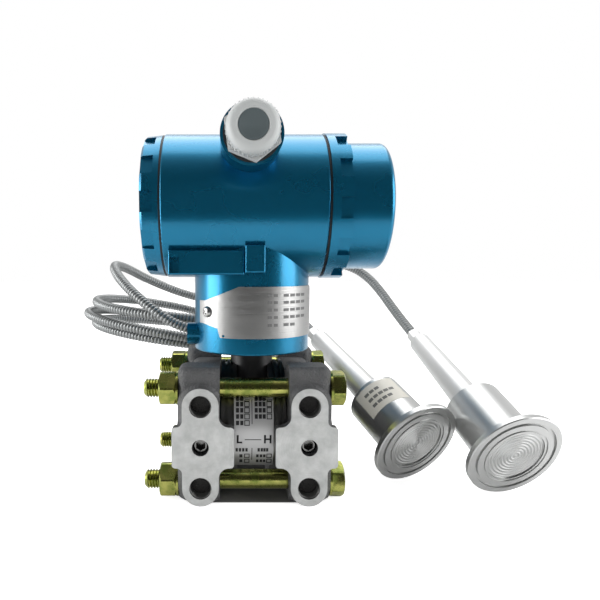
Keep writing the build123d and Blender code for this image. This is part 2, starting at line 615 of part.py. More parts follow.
def window_stack():
    """The glass, its gasket and the ring that holds them in the deep cover."""
    top = O_RING_GAP + DISPLAY_COVER_LEN - COVER_WALL
    pieces = []
    for inner, thick in ((WINDOW_RING_INNER_R, WINDOW_GASKET_THICK), (0, WINDOW_THICK),
                         (WINDOW_RING_INNER_R, WINDOW_RING_THICK)):
        pieces.append(cover_seat(1) * turned([(inner, top - thick), (WINDOW_R, top - thick), (WINDOW_R, top),
                                              (inner, top)]))
        top -= thick
    return pieces


def gland_pieces():
    """The cable gland on the front entry: washer, body, compression seal and dome nut."""
    seat = facing((CONDUIT_X, AXIS_Y - CONDUIT_BOSS_REACH, CONDUIT_Z), (0, -1, 0))
    washer = turned([(CONDUIT_BORE_R, 0), (GLAND_WASHER_R, 0), (GLAND_WASHER_R, GLAND_WASHER_THICK),
                     (CONDUIT_BORE_R, GLAND_WASHER_THICK)])
    hex_top = GLAND_WASHER_THICK + GLAND_HEX_LEN
    neck_top = hex_top + GLAND_NECK_LEN
    body = Pos(0, 0, GLAND_WASHER_THICK) * hex_bar(GLAND_HEX_AF, GLAND_HEX_LEN, GLAND_HEX_TURN)
    body = body + turned([(0, -GLAND_THREAD_LEN), (CONDUIT_BORE_R - THREAD_CLEARANCE, -GLAND_THREAD_LEN),
                          (CONDUIT_BORE_R - THREAD_CLEARANCE, hex_top), (GLAND_NECK_R, hex_top),
                          (GLAND_NECK_R, neck_top), (0, neck_top)])
    body = body - turned([(0, -2 * GLAND_THREAD_LEN), (GLAND_BORE_R, -2 * GLAND_THREAD_LEN),
                          (GLAND_BORE_R, hex_top), (0, hex_top)])
    body = body - turned([(0, hex_top - CUT_MARGIN), (GLAND_SEAL_R, hex_top - CUT_MARGIN),
                          (GLAND_SEAL_R, neck_top + CUT_MARGIN), (0, neck_top + CUT_MARGIN)])
    nut_foot = hex_top + GLAND_NUT_GAP
    nut_top = nut_foot + GLAND_NUT_LEN
    roof = nut_top - GLAND_ROOF
    seal_r = GLAND_SEAL_R - SEAL_FIT
    tip_r = GLAND_NUT_HOLE_R - SEAL_FIT
    seal = turned([(GLAND_SEAL_BORE_R, hex_top + GLAND_SEAL_LIFT), (seal_r, hex_top + GLAND_SEAL_LIFT),
                   (seal_r, roof - GLAND_SEAL_LIFT), (tip_r, roof), (tip_r, nut_top - GLAND_SEAL_SUNK),
                   (GLAND_SEAL_BORE_R, nut_top - GLAND_SEAL_SUNK)])
    thread_r = GLAND_NECK_R + THREAD_CLEARANCE
    crown = [(GLAND_NUT_FACE_R + (GLAND_NUT_R - GLAND_NUT_FACE_R) * math.sin(math.radians(15.0 * k)),
              nut_top - GLAND_NUT_CROWN * (1 - math.cos(math.radians(15.0 * k)))) for k in range(7)]
    lip = [(GLAND_NUT_HOLE_R, nut_top - GLAND_NUT_LIP), (GLAND_NUT_HOLE_R + GLAND_NUT_LIP, nut_top)]
    skirt = [(GLAND_NUT_R, nut_foot), (thread_r, nut_foot), (thread_r, roof), (GLAND_NUT_HOLE_R, roof)]
    nut = turned(lip + crown + skirt)
    rib = Pos(GLAND_NUT_R, 0, nut_foot + GLAND_RIB_LEN / 2) * Cylinder(GLAND_NUT_RIB_R, GLAND_RIB_LEN)
    ribs = [Rot(0, 0, 360.0 / GLAND_NUT_RIBS * k) * rib for k in range(GLAND_NUT_RIBS)]
    nut = nut + ribs
    return seat * washer, seat * body, seat * seal, seat * nut


def conduit_plug():
    """The hexagon plug in the rear entry."""
    seat = facing((CONDUIT_X, AXIS_Y + CONDUIT_BOSS_REACH, CONDUIT_Z), (0, 1, 0))
    plug = hex_bar(PLUG_HEAD_AF, PLUG_HEAD_LEN) + turned(
        [(0, -GLAND_THREAD_LEN), (CONDUIT_BORE_R - THREAD_CLEARANCE, -GLAND_THREAD_LEN),
         (CONDUIT_BORE_R - THREAD_CLEARANCE, 0), (0, 0)])
    plug = plug - Pos(0, 0, PLUG_HEAD_LEN - PLUG_SOCKET_AF / 2) * hex_bar(PLUG_SOCKET_AF, PLUG_SOCKET_AF)
    return seat * plug


def plate_cut(corners, beyond_z):
    """What is cut from the wrapped plate beside its ear, seen from the front."""
    edge = -2 * NECK_R
    first, last = corners[0], corners[-1]
    outline = [(edge, beyond_z), (first[0], beyond_z)] + list(corners) + [(edge, last[1])]
    return make_face(Polyline(*outline, close=True))


def nameplate():
    """A thin plate round the neck, necked down to an ear with a screw at each end."""
    inner = NECK_R + PLATE_FIT
    outer = inner + PLATE_THICK
    wrap = rod_z(outer, *PLATE_Z) - rod_z(inner, PLATE_Z[0] - CUT_MARGIN, PLATE_Z[1] + CUT_MARGIN)
    span = PLATE_TO_DEG - PLATE_FROM_DEG
    sector = [(0, 0)]
    for k in range(5):
        angle = math.radians(PLATE_FROM_DEG + span * k / 4)
        sector.append((2 * NECK_R * math.cos(angle), 2 * NECK_R * math.sin(angle)))
    wedge = extrude(Pos(0, AXIS_Y) * make_face(Polyline(*sector, close=True)), PLATE_Z[1] + CUT_MARGIN)
    wrap = wrap & wedge
    front = Plane.XZ.offset(-AXIS_Y)
    cut = plate_cut(PLATE_UPPER_CUT, PLATE_Z[1] + CUT_MARGIN)
    cut = cut + plate_cut(PLATE_LOWER_CUT, PLATE_Z[0] - CUT_MARGIN)
    eyelet = Pos(PLATE_EYELET_X, PLATE_EYELET_Z)
    notch = extrude(front * (cut - eyelet * Circle(PLATE_EYELET_R)), 2 * NECK_R)
    middle = math.radians((PLATE_FROM_DEG + PLATE_TO_DEG) / 2 - 90.0)
    mirror_plane = Plane(origin=(0, AXIS_Y, 0), z_dir=(math.cos(middle), math.sin(middle), 0))
    hole = extrude(front * (eyelet * Circle(PLATE_EYELET_HOLE_R)), 2 * NECK_R)
    wrap = wrap - notch - mirror(notch, about=mirror_plane) - hole
    screws = []
    for degrees in (PLATE_SCREW_DEG, PLATE_FROM_DEG + PLATE_TO_DEG - PLATE_SCREW_DEG):
        angle = math.radians(degrees)
        place = facing((0, AXIS_Y, sum(PLATE_EAR_Z) / 2), (math.cos(angle), math.sin(angle), 0))
        head_top = outer + PLATE_SCREW_HEAD
        screws.append(place * turned([(0, outer), (PLATE_SCREW_R, outer),
                                      (PLATE_SCREW_R, head_top - PLATE_SCREW_CROWN),
                                      (PLATE_SCREW_R - PLATE_SCREW_CROWN, head_top), (0, head_top)]))
    return wrap, group(screws)


# Electronics inside the housing

def terminal_parts():
    """The moulded terminal block on the wall of the left compartment, and its screws."""
    face_x = PARTITION_LEFT_X - TERMINAL_BLOCK_THICK
    block_body = rod_x(TERMINAL_BLOCK_R, face_x, PARTITION_LEFT_X, z=BARREL_AXIS_Z)
    block_body = block_body & block((face_x, PARTITION_LEFT_X), (0, REAR_FACE_Y),
                                    (BARREL_AXIS_Z - TERMINAL_BLOCK_R, TERMINAL_BLOCK_TOP_Z))
    screws = []
    for k in (-1, 0, 1):
        y = AXIS_Y + k * TERMINAL_PITCH
        seat = face_x + TERMINAL_SLOT
        cell = block((face_x - CUT_MARGIN, seat), (y - TERMINAL_CELL / 2, y + TERMINAL_CELL / 2),
                     (BARREL_AXIS_Z - TERMINAL_CELL, BARREL_AXIS_Z + TERMINAL_CELL))
        block_body = block_body - cell
        screw = rod_x(TERMINAL_SCREW_R, seat - TERMINAL_SCREW_HEAD, seat, y, BARREL_AXIS_Z)
        slot = block((seat - 2 * TERMINAL_SCREW_HEAD, seat - TERMINAL_SCREW_HEAD / 2),
                     (y - SLOT_W / 2, y + SLOT_W / 2),
                     (BARREL_AXIS_Z - 2 * TERMINAL_SCREW_R, BARREL_AXIS_Z + 2 * TERMINAL_SCREW_R))
        screws.append(screw - slot)
    return block_body, group(screws)


def feedthrough():
    """The sealed plug that carries the wires through the compartment wall."""
    wall = (PARTITION_RIGHT_X, PARTITION_RIGHT_X + PARTITION_THICK)
    body = rod_x(FEEDTHROUGH_R - THREAD_CLEARANCE, wall[0], wall[1], z=BARREL_AXIS_Z)
    pins = [rod_x(PIN_R, wall[0] - PIN_LEN, wall[1] + PIN_LEN, AXIS_Y + k * PIN_PITCH, BARREL_AXIS_Z)
            for k in (-1, 0, 1)]
    return body + pins


def electronics_stack():
    """Two round boards on spacers, chips on the outer one, and the display on top."""
    wall = PARTITION_RIGHT_X + PARTITION_THICK
    boards, spacers, chips = [], [], []
    reach = SPACER_CIRCLE_R / math.sqrt(2)
    corners = [(AXIS_Y + y * reach, BARREL_AXIS_Z + z * reach) for y in (-1, 1) for z in (-1, 1)]
    wide, high, thick = CHIP_SIZE
    x = wall + BOARD_FIRST_GAP
    previous = wall
    for level in range(BOARD_COUNT):
        boards.append(rod_x(BOARD_R, x, x + BOARD_THICK, z=BARREL_AXIS_Z))
        spacers += [rod_x(SPACER_R, previous, x, y, z) for y, z in corners]
        previous = x + BOARD_THICK
        for chip_y, chip_z in CHIP_PLACES:
            y, z = AXIS_Y + chip_y, BARREL_AXIS_Z + chip_z
            chips.append(Pos(previous + thick / 2, y, z) * Box(thick, wide, high))
        x = previous + BOARD_PITCH
    spacers += [rod_x(SPACER_R, previous, x, y, z) for y, z in corners]
    module = rod_x(DISPLAY_MODULE_R, x, x + DISPLAY_MODULE_THICK, z=BARREL_AXIS_Z)
    face = x + DISPLAY_MODULE_THICK
    wide, high, thick = DISPLAY_GLASS_SIZE
    glass = Pos(face - thick / 2, AXIS_Y, BARREL_AXIS_Z) * Box(thick, wide, high)
    return group(boards), group(spacers), group(chips), module - glass, glass


# Capillary adapters and remote seals

def capillary_adapter(side):
    """The hexagon adapter that carries a capillary out of a rear process port."""
    seat = facing((side * PORT_X, REAR_FACE_Y, 0), (0, 1, 0))
    tip = ADAPTER_HEX_LEN + ADAPTER_NOSE_LEN
    thread_r = PROCESS_PORT_R - THREAD_CLEARANCE
    spindle = turned([(0, -ADAPTER_THREAD_LEN), (thread_r, -ADAPTER_THREAD_LEN), (thread_r, 0),
                      (ADAPTER_NOSE_R, 0), (ADAPTER_NOSE_R, ADAPTER_HEX_LEN + ADAPTER_SHOULDER),
                      (ADAPTER_TIP_R, tip), (0, tip)])
    return seat * (hex_bar(ADAPTER_HEX_AF, ADAPTER_HEX_LEN, ADAPTER_HEX_TURN) + spindle)


def seal_frame(name):
    """The frame of a seal: at the middle of its face, +Z out of it and +X on the upper side."""
    x, y, heading = SEALS[name]
    tilt, turn = math.radians(SEAL_TILT_DEG), math.radians(heading)
    z = TABLE_Z + FERRULE_R * math.cos(tilt)
    normal = (math.cos(tilt) * math.sin(turn), -math.cos(tilt) * math.cos(turn), -math.sin(tilt))
    upward = (math.sin(tilt) * math.sin(turn), -math.sin(tilt) * math.cos(turn), math.cos(tilt))
    return Plane(origin=(x, y, z), x_dir=upward, z_dir=normal)


def seal_body():
    """The ferrule and the round body behind it, in one piece."""
    taper = (FERRULE_R - SEAL_BODY_R) * math.tan(math.radians(FERRULE_TAPER_DEG))
    inner, outer, depth = SEAL_GROOVE
    ring_in, ring_out, ring_depth = SEAL_FACE_RING
    return turned([
        (0, -SEAL_RECESS_DEPTH), (SEAL_RECESS_R, -SEAL_RECESS_DEPTH), (SEAL_RECESS_R, 0),
        (ring_in, 0), (ring_in, -ring_depth), (ring_out, -ring_depth), (ring_out, 0),
        (inner, 0), (inner, -depth), (outer, -depth), (outer, 0),
        (FERRULE_R - FERRULE_EDGE, 0), (FERRULE_R, -FERRULE_EDGE), (FERRULE_R, -FERRULE_RIM),
        (SEAL_BODY_R, -FERRULE_RIM - taper), (SEAL_BODY_R, -SEAL_BODY_LEN + SEAL_BODY_EDGE),
        (SEAL_BODY_R - SEAL_BODY_EDGE, -SEAL_BODY_LEN), (0, -SEAL_BODY_LEN)])


def seal_diaphragm():
    """The thin corrugated disc that closes the seal."""
    pitch = SEAL_DIAPHRAGM_R / (CORRUGATIONS + 0.5)
    crest = CORRUGATION_BASE + CORRUGATION_HEIGHT
    points = [(0, -SEAL_RECESS_DEPTH), (0, CORRUGATION_BASE)]
    for k in range(CORRUGATIONS):
        points += [((k + 0.25) * pitch, CORRUGATION_BASE), ((k + 0.75) * pitch, crest)]
    points += [((CORRUGATIONS + 0.2) * pitch, CORRUGATION_BASE), (SEAL_DIAPHRAGM_R, CORRUGATION_BASE),
               (SEAL_DIAPHRAGM_R, -SEAL_RECESS_DEPTH)]
    return turned(points)


def seal_stem():
    """The tapered stem welded to the back of the body."""
    stem = turned([(0, -SEAL_BODY_LEN), (STEM_ROOT_R, -SEAL_BODY_LEN), (STEM_TIP_R, -SEAL_BODY_LEN - STEM_LEN),
                   (0, -SEAL_BODY_LEN - STEM_LEN)])
    return fillet(stem.faces().sort_by(Axis.Z)[0].edges(), STEM_EDGE_R)


def seal_collar():
    """The small hexagon collar that grips the capillary."""
    return Pos(0, 0, -SEAL_LEN) * hex_bar(COLLAR_AF, COLLAR_LEN)


def seal_label():
    """The sticker on the upper side of the low seal's body."""
    first = -SEAL_LABEL_FROM - SEAL_LABEL_LEN
    band = turned([(SEAL_BODY_R, first), (SEAL_BODY_R + SEAL_LABEL_THICK, first),
                   (SEAL_BODY_R + SEAL_LABEL_THICK, -SEAL_LABEL_FROM), (SEAL_BODY_R, -SEAL_LABEL_FROM)])
    start, stop = SEAL_LABEL_DEG
    fan = [(0, 0)]
    for k in range(5):
        angle = math.radians(start + (stop - start) * k / 4)
        fan.append((2 * SEAL_BODY_R * math.cos(angle), 2 * SEAL_BODY_R * math.sin(angle)))
    wedge = extrude(make_face(Polyline(*fan, close=True)), SEAL_LABEL_LEN + 2 * CUT_MARGIN)
    return band & (Pos(0, 0, first - CUT_MARGIN) * wedge)


# Capillaries

def capillary(points):
    """A round tube on straight runs joined by the largest arcs that they leave room for."""
    points = [Vector(*p) for p in points]
    runs = [(b - a).length for a, b in zip(points, points[1:])]
    turns = [(b - a).get_angle(c - b) for a, b, c in zip(points, points[1:], points[2:])]
    radii = [ARC_SHARE * min(runs[k], runs[k + 1]) / math.tan(math.radians(turns[k] / 2))
             for k in range(len(turns))]
    path = FilletPolyline(*points, radius=radii)
    section = Plane(origin=points[0], z_dir=points[1] - points[0]) * Circle(CAPILLARY_R)
    tube = sweep(section, path=path)
    expected = math.pi * CAPILLARY_R ** 2 * path.length
    print("capillary", round(path.length, 1), "mm, radii", [round(r) for r in radii],
          "volume share", round(tube.volume / expected, 4))
    return tube


def seal_exit(name, standoff=0.0):
    """A point on the stem's line, standoff millimetres beyond the collar."""
    frame = seal_frame(name)
    return tuple(frame.origin - frame.z_dir * (SEAL_LEN + standoff))


def port_exit(side):
    """Where a capillary leaves its adapter."""
    return (side * PORT_X, REAR_FACE_Y + ADAPTER_HEX_LEN + ADAPTER_NOSE_LEN, 0.0)


def low_coil():
    """The outer shape of the two slack turns of the low side's capillary."""
    outer = Ellipse(COIL_SEMI_X + COIL_SECTION_W / 2, COIL_SEMI_Y + COIL_SECTION_W / 2)
    inner = Ellipse(COIL_SEMI_X - COIL_SECTION_W / 2, COIL_SEMI_Y - COIL_SECTION_W / 2)
    ring = Pos(0, 0, -COIL_SECTION_H / 2) * extrude(outer - inner, COIL_SECTION_H)
    ring = fillet(ring.edges(), COIL_EDGE_R)
    return Pos(*COIL_CENTRE) * Rot(0, COIL_TILT_DEG, 0) * ring


def build():
    """Every node of the transmitter, by name."""
    nodes = {}
    for side, name in ((-1, "low"), (1, "high")):
        nodes[f"{name}_side_flange"] = process_flange(side)
        nodes[f"{name}_capillary_adapter"] = capillary_adapter(side)
    nodes["port_plugs"] = port_plugs()
    nodes["flange_bolts"], nodes["flange_nuts"], nodes["flange_washers"] = bolt_sets()
    nodes["sensor_cell"] = sensor_cell()
    nodes["sensor_neck"] = sensor_neck()
    nodes["cell_gaskets"], nodes["isolating_diaphragms"], nodes["cell_label"] = cell_trims()
    nodes["housing_casting"] = housing_casting()
    nodes["neck_lock_screw"] = neck_lock_screw()
    nodes["terminal_cover"] = terminal_cover()
    nodes["terminal_cover_o_ring"] = cover_o_ring(-1)
    nodes["display_cover"] = display_cover()
    nodes["display_cover_o_ring"] = cover_o_ring(1)
    nodes["window_gasket"], nodes["window_glass"], nodes["window_ring"] = window_stack()
    nodes["gland_washer"], nodes["gland_body"], nodes["gland_seal"], nodes["gland_nut"] = gland_pieces()
    nodes["conduit_plug"] = conduit_plug()
    nodes["nameplate"], nodes["nameplate_screws"] = nameplate()
    nodes["terminal_block"], nodes["terminal_screws"] = terminal_parts()
    nodes["wire_feedthrough"] = feedthrough()
    names = ("circuit_boards", "board_spacers", "board_chips", "display_module", "display_glass")
    nodes.update(zip(names, electronics_stack()))
    for name in SEALS:
        place = seal_frame(name).location
        for piece, shape in (("body", seal_body()), ("diaphragm", seal_diaphragm()),
                             ("stem", seal_stem()), ("collar", seal_collar())):
            nodes[f"{name}_seal_{piece}"] = place * shape
    nodes["low_seal_label"] = seal_frame("low").location * seal_label()
    nodes["low_capillary_lead"] = capillary([port_exit(-1)] + LOW_LEAD)
    nodes["low_capillary_coil"] = low_coil()
    low_end = [seal_exit("low", LOW_TAIL_STANDOFF), seal_exit("low")]
    nodes["low_capillary_tail"] = capillary(LOW_TAIL + low_end)
    high_end = [seal_exit("high", HIGH_TAIL_STANDOFF), seal_exit("high")]
    nodes["high_capillary"] = capillary([port_exit(1)] + HIGH_ROUTE + high_end)
    return nodes


os.makedirs("parts", exist_ok=True)
for node, shape in build().items():
    export_step(shape, f"parts/{node}.step")
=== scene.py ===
import math

import bpy
from mathutils import Matrix, Vector


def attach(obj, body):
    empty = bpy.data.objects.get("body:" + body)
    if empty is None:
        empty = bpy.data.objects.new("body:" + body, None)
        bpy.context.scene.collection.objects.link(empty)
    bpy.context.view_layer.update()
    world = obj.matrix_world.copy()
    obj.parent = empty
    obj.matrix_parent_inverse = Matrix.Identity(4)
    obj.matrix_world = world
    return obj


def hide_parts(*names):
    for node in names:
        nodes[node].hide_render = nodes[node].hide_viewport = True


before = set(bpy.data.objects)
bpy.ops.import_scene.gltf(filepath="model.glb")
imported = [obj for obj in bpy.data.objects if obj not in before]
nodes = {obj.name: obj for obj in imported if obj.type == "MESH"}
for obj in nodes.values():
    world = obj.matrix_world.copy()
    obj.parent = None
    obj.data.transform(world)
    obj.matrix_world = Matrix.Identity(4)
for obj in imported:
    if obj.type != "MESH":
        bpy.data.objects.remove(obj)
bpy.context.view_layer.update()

# Studio: a sheet of white paper that ends in front of the instrument, bright walls behind and at
# the sides, and a dark room in front, so that enamel and metal show both. The paper keeps the shadow, and
# under the instrument a dark patch is painted on it as painted shadow.
MM = 0.001
TABLE_Z = -29.75
PAPER_FRONT = -0.26
PAPER_REACH = 3.0
PAPER_WHITE = 0.86
PAPER_PAINTED_SHADOW = 0.12
PAPER_GLOW = 0.75
PAPER_MIRRORED = 0.10
PAINTED_SHADOW_EDGE = 0.97
UNDER_INSTRUMENT = (0.0, 46.0, 22.0, 42.0)
ROOM_BRIGHT = 1.0
ROOM_DARK = 0.05


def select_only(*pieces):
    """Leaves only these objects selected, the first of them active."""
    bpy.ops.object.select_all(action="DESELECT")
    for piece in pieces:
        piece.select_set(True)
    bpy.context.view_layer.objects.active = pieces[0]


def new_material(name, color, roughness, metallic=0.0, **sockets):
    """A material with its Principled shader's own sockets set."""
    material = bpy.data.materials.new(name)
    material.use_nodes = True
    shader = material.node_tree.nodes["Principled BSDF"]
    shader.inputs["Base Color"].default_value = (*color, 1.0)
    shader.inputs["Roughness"].default_value = roughness
    shader.inputs["Metallic"].default_value = metallic
    for socket, value in sockets.items():
        shader.inputs[socket.replace("_", " ")].default_value = value
    return material


def wire(tree, kind, links=(), **values):
    """A node in a tree, with its settings, unlinked inputs and incoming links."""
    node = tree.nodes.new(kind)
    for key, value in values.items():
        if hasattr(node, key):
            setattr(node, key, value)
        else:
            node.inputs[key.replace("_", " ")].default_value = value
    for socket, source in links:
        tree.links.new(source, node.inputs[socket])
    return node


bpy.ops.object.select_all(action="DESELECT")
bpy.ops.mesh.primitive_plane_add(size=1.0, location=(0, 0, TABLE_Z * MM))
paper = bpy.context.active_object
paper.name = "paper"
paper.scale = (2 * PAPER_REACH, PAPER_REACH - PAPER_FRONT, 1.0)
paper.location.y = (PAPER_REACH + PAPER_FRONT) / 2
bpy.ops.object.transform_apply(location=True, rotation=True, scale=True)
paper_white = new_material("white_paper", (PAPER_WHITE,) * 3, 0.8, Emission_Color=(1, 1, 1, 1))
tree = paper_white.node_tree
seen_by = wire(tree, "ShaderNodeLightPath")
mirrored = wire(tree, "ShaderNodeMath", [(0, seen_by.outputs["Is Glossy Ray"])], operation="MULTIPLY")
mirrored.inputs[1].default_value = PAPER_MIRRORED
spot = wire(tree, "ShaderNodeTexCoord").outputs["Object"]
middle_x, middle_y, half_x, half_y = [v * MM for v in UNDER_INSTRUMENT]
inside = wire(tree, "ShaderNodeMapping", [("Vector", spot)], vector_type="TEXTURE")
inside.inputs["Location"].default_value = (middle_x, middle_y, 0)
inside.inputs["Scale"].default_value = (half_x, half_y, 1)
apart = wire(tree, "ShaderNodeSeparateXYZ", [(0, inside.outputs[0])])
edges = [wire(tree, "ShaderNodeMath", [(0, apart.outputs[axis])], operation="ABSOLUTE")
         for axis in ("X", "Y")]
nearest = wire(tree, "ShaderNodeMath", [(0, edges[0].outputs[0]), (1, edges[1].outputs[0])],
               operation="MAXIMUM")
# Painted shadow: under the instrument the paper's glow is left out and its colour is made dark.
open_paper = wire(tree, "ShaderNodeMapRange", [("Value", nearest.outputs[0])], From_Min=PAINTED_SHADOW_EDGE,
                  From_Max=1.0)
shown = wire(tree, "ShaderNodeMath", [(0, seen_by.outputs["Is Camera Ray"]), (1, open_paper.outputs[0])],
             operation="MULTIPLY")
glow = wire(tree, "ShaderNodeMath", [(0, shown.outputs[0]), (2, mirrored.outputs[0])],
            operation="MULTIPLY_ADD")
glow.inputs[1].default_value = PAPER_GLOW
tree.links.new(glow.outputs[0], tree.nodes["Principled BSDF"].inputs["Emission Strength"])
painted_shadow = wire(tree, "ShaderNodeMix", [(0, open_paper.outputs[0])], data_type="RGBA")
painted_shadow.inputs[6].default_value = (PAPER_PAINTED_SHADOW,) * 3 + (1.0,)
painted_shadow.inputs[7].default_value = (PAPER_WHITE,) * 3 + (1.0,)
tree.links.new(painted_shadow.outputs[2], tree.nodes["Principled BSDF"].inputs["Base Color"])
paper.data.materials.append(paper_white)

world = bpy.data.worlds.new("studio")
bpy.context.scene.world = world
world.use_nodes = True
room = world.node_tree
room.nodes.clear()
heading = wire(room, "ShaderNodeSeparateXYZ", [(0, wire(room, "ShaderNodeTexCoord").outputs["Generated"])])
walls = wire(room, "ShaderNodeMapRange", [("Value", heading.outputs["Y"])], interpolation_type="SMOOTHSTEP",
             From_Min=-0.78, From_Max=0.50, To_Min=ROOM_DARK, To_Max=ROOM_BRIGHT)
walls_light = wire(room, "ShaderNodeBackground", [("Strength", walls.outputs[0])])
backdrop = wire(room, "ShaderNodeBackground", Strength=1.0)
for shade in (walls_light, backdrop):
    shade.inputs["Color"].default_value = (1, 1, 1, 1)
shown = wire(room, "ShaderNodeMixShader", [(0, wire(room, "ShaderNodeLightPath").outputs["Is Camera Ray"]),
                                           (1, walls_light.outputs[0]), (2, backdrop.outputs[0])])
wire(room, "ShaderNodeOutputWorld", [("Surface", shown.outputs[0])])

LAMPS_AIM = (0.02, 0.04, 0.05)
LAMP_WATTS = 6.0
SOFTBOXES = (("left_softbox", (-0.85, -0.05, 0.20), 0.5, True),
             ("right_softbox", (0.85, -0.20, 0.30), 0.6, True),
             ("top_softbox", (0.05, 0.35, 0.95), 0.9, True),
             ("front_fill", (-0.15, -1.10, 0.30), 0.8, False))
for name, place, size, mirrored in SOFTBOXES:
    lamp = bpy.data.lights.new(name, "AREA")
    lamp.shape = "SQUARE"
    lamp.size = size
    lamp.energy = LAMP_WATTS
    softbox = bpy.data.objects.new(name, lamp)
    softbox.location = place
    softbox.visible_glossy = mirrored
    softbox.rotation_euler = (Vector(LAMPS_AIM) - Vector(place)).to_track_quat("-Z", "Y").to_euler()
    bpy.context.scene.collection.objects.link(softbox)

# Camera: a little below the middle of the housing, 0.27 m in front of the pads, tipped down 4 degrees.
# The picture is a crop, so its optical axis lies left of the middle of the frame.
camera_data = bpy.data.cameras.new("camera")
camera_data.lens = 33.0
camera_data.sensor_width = 36.0
camera_data.shift_x = 0.1195
camera_data.shift_y = 0.0058
camera_data.clip_start = 0.01
camera = bpy.data.objects.new("camera", camera_data)
camera.location = (-13.165 * MM, -265.53 * MM, 91.65 * MM)
camera.rotation_euler = (math.pi / 2 - 0.075, 0, 0)
bpy.context.scene.collection.objects.link(camera)
bpy.context.scene.camera = camera
bpy.context.scene.view_settings.view_transform = "Standard"

# Capillaries: 6 mm flexible steel conduit, one from the rear port of each flange to its seal, with the
# capillary inside. The conduit is a strip wound edge over edge, so its ridges are a close helix, and its
# grooves are painted darker as shade.
ARMOUR_R = 3.4
ARMOUR_GROOVE = 0.55
ARMOUR_PITCH = 2.3
ARMOUR_STEPS = 6
ARMOUR_SIDES = 14
SEAL_TILT = math.radians(24.6)
SEAL_LENGTH = 117.0
FERRULE_R = 25.25
SEALS = {"low": (89.3, 26.2, 23.5), "high": (132.7, 7.0, 9.8)}
PORT_EXIT_Y = 117.5
LOW_LEAD = [(-27.0, 135.0, 0.0), (-29.5, 152.0, 6.5), (-29.0, 168.0, 17.0), (-22.5, 182.0, 27.0),
            (-10.0, 189.5, 34.5)]
LOW_TAIL = [(-34.0, 188.0, 42.0), (-8.0, 184.0, 51.0), (14.0, 173.5, 58.0)]
LOW_TAIL_STANDOFF = 26.0
HIGH_ROUTE = [
    (27.0, 137.5, 0.0), (29.0, 159.5, 5.0), (26.0, 180.5, 14.0), (9.0, 197.5, 28.0), (-17.0, 207.5, 42.0),
    (-50.0, 209.5, 52.0), (-84.0, 197.5, 59.0), (-106.0, 173.5, 63.0), (-112.0, 143.5, 64.0),
    (-103.0, 115.5, 62.0), (-80.0, 97.5, 59.0), (-50.0, 91.5, 56.0), (-20.0, 93.5, 53.0),
    (4.0, 103.5, 50.0), (20.0, 123.5, 47.0), (25.0, 147.5, 45.5), (20.0, 173.5, 46.5),
    (2.0, 194.5, 51.0), (-24.0, 204.5, 58.0), (-52.0, 200.5, 65.0), (-78.0, 184.5, 77.0),
    (-93.0, 159.5, 88.0), (-97.0, 132.5, 90.0), (-86.0, 106.5, 79.0), (-66.0, 87.5, 64.0),
    (-44.0, 84.5, 49.5), (-20.0, 86.5, 47.0), (5.0, 91.5, 47.5), (22.0, 102.5, 52.0),
    (30.0, 121.0, 61.0), (30.0, 142.0, 71.0), (34.0, 163.0, 81.0), (46.0, 180.0, 88.0),
    (66.5, 188.5, 91.5), (88.5, 184.0, 88.0), (101.5, 167.0, 76.0)]
HIGH_TAIL_STANDOFF = 22.0
COIL_CENTRE = (-53.0, 146.5, 41.0)
COIL_SEMI = (66.0, 47.0)
COIL_TILT = math.radians(8.3)
COIL_FROM_DEG = 32.0
COIL_TURN_DEG = 655.0
COIL_POINTS = 30
COIL_OUTWARD = 0.945
COIL_SPREAD = 3.0
COIL_RISE = 3.4
COIL_FAN = 2.6


def seal_place(name):
    """The middle of a seal's face, the direction out of it and its upper side."""
    x, y, heading = SEALS[name]
    turn = math.radians(heading)
    level, drop = math.cos(SEAL_TILT), math.sin(SEAL_TILT)
    out = Vector((level * math.sin(turn), -level * math.cos(turn), -drop))
    upper = Vector((drop * math.sin(turn), -drop * math.cos(turn), level))
    return Vector((x, y, TABLE_Z + FERRULE_R * level)), out, upper


def seal_exit(name, standoff=0.0):
    """A point on the stem's line, standoff millimetres beyond its collar."""
    centre, out, _ = seal_place(name)
    return tuple(centre - out * (SEAL_LENGTH + standoff))


def coil_turns():
    """The slack turns of the low side, which fan out on the left, where nothing holds them."""
    points = []
    for k in range(COIL_POINTS):
        share = k / (COIL_POINTS - 1)
        angle = math.radians(COIL_FROM_DEG - COIL_TURN_DEG * share)
        outward = COIL_OUTWARD - COIL_SPREAD * math.sin(5.0 * share + 0.6) / COIL_SEMI[0]
        x = COIL_SEMI[0] * outward * math.cos(angle)
        y = COIL_SEMI[1] * outward * math.sin(angle)
        rise = COIL_RISE + COIL_FAN * (0.5 - 0.5 * math.cos(angle))
        z = (share - 0.5) * 2 * rise - math.tan(COIL_TILT) * x
        points.append((COIL_CENTRE[0] + x, COIL_CENTRE[1] + y, COIL_CENTRE[2] + z))
    return points


def centreline(name, points):
    """The smooth line along a conduit's route, read from its NURBS spline."""
    curve = bpy.data.curves.new(name, "CURVE")
    curve.dimensions = "3D"
    spline = curve.splines.new("NURBS")
    spline.points.add(len(points) - 1)
    for point, place in zip(spline.points, points):
        point.co = (*[c * MM for c in place], 1.0)
    spline.order_u = 3
    spline.use_endpoint_u = True
    spline.resolution_u = 24
    holder = bpy.data.objects.new(name, curve)
    bpy.context.scene.collection.objects.link(holder)
    bpy.context.view_layer.update()
    line = bpy.data.meshes.new_from_object(holder.evaluated_get(bpy.context.evaluated_depsgraph_get()))
    path = [v.co.copy() for v in line.vertices]
    bpy.data.meshes.remove(line)
    bpy.data.objects.remove(holder)
    return path


def at_steps(path, step):
    """Points a fixed step apart along a line."""
    out, carried = [path[0]], 0.0
    for a, b in zip(path, path[1:]):
        run = (b - a).length
        while carried + run >= step:
            a = a + (b - a) * ((step - carried) / run)
            out.append(a)
            run = (b - a).length
            carried = 0.0
        carried += run
    return out + [path[-1]]


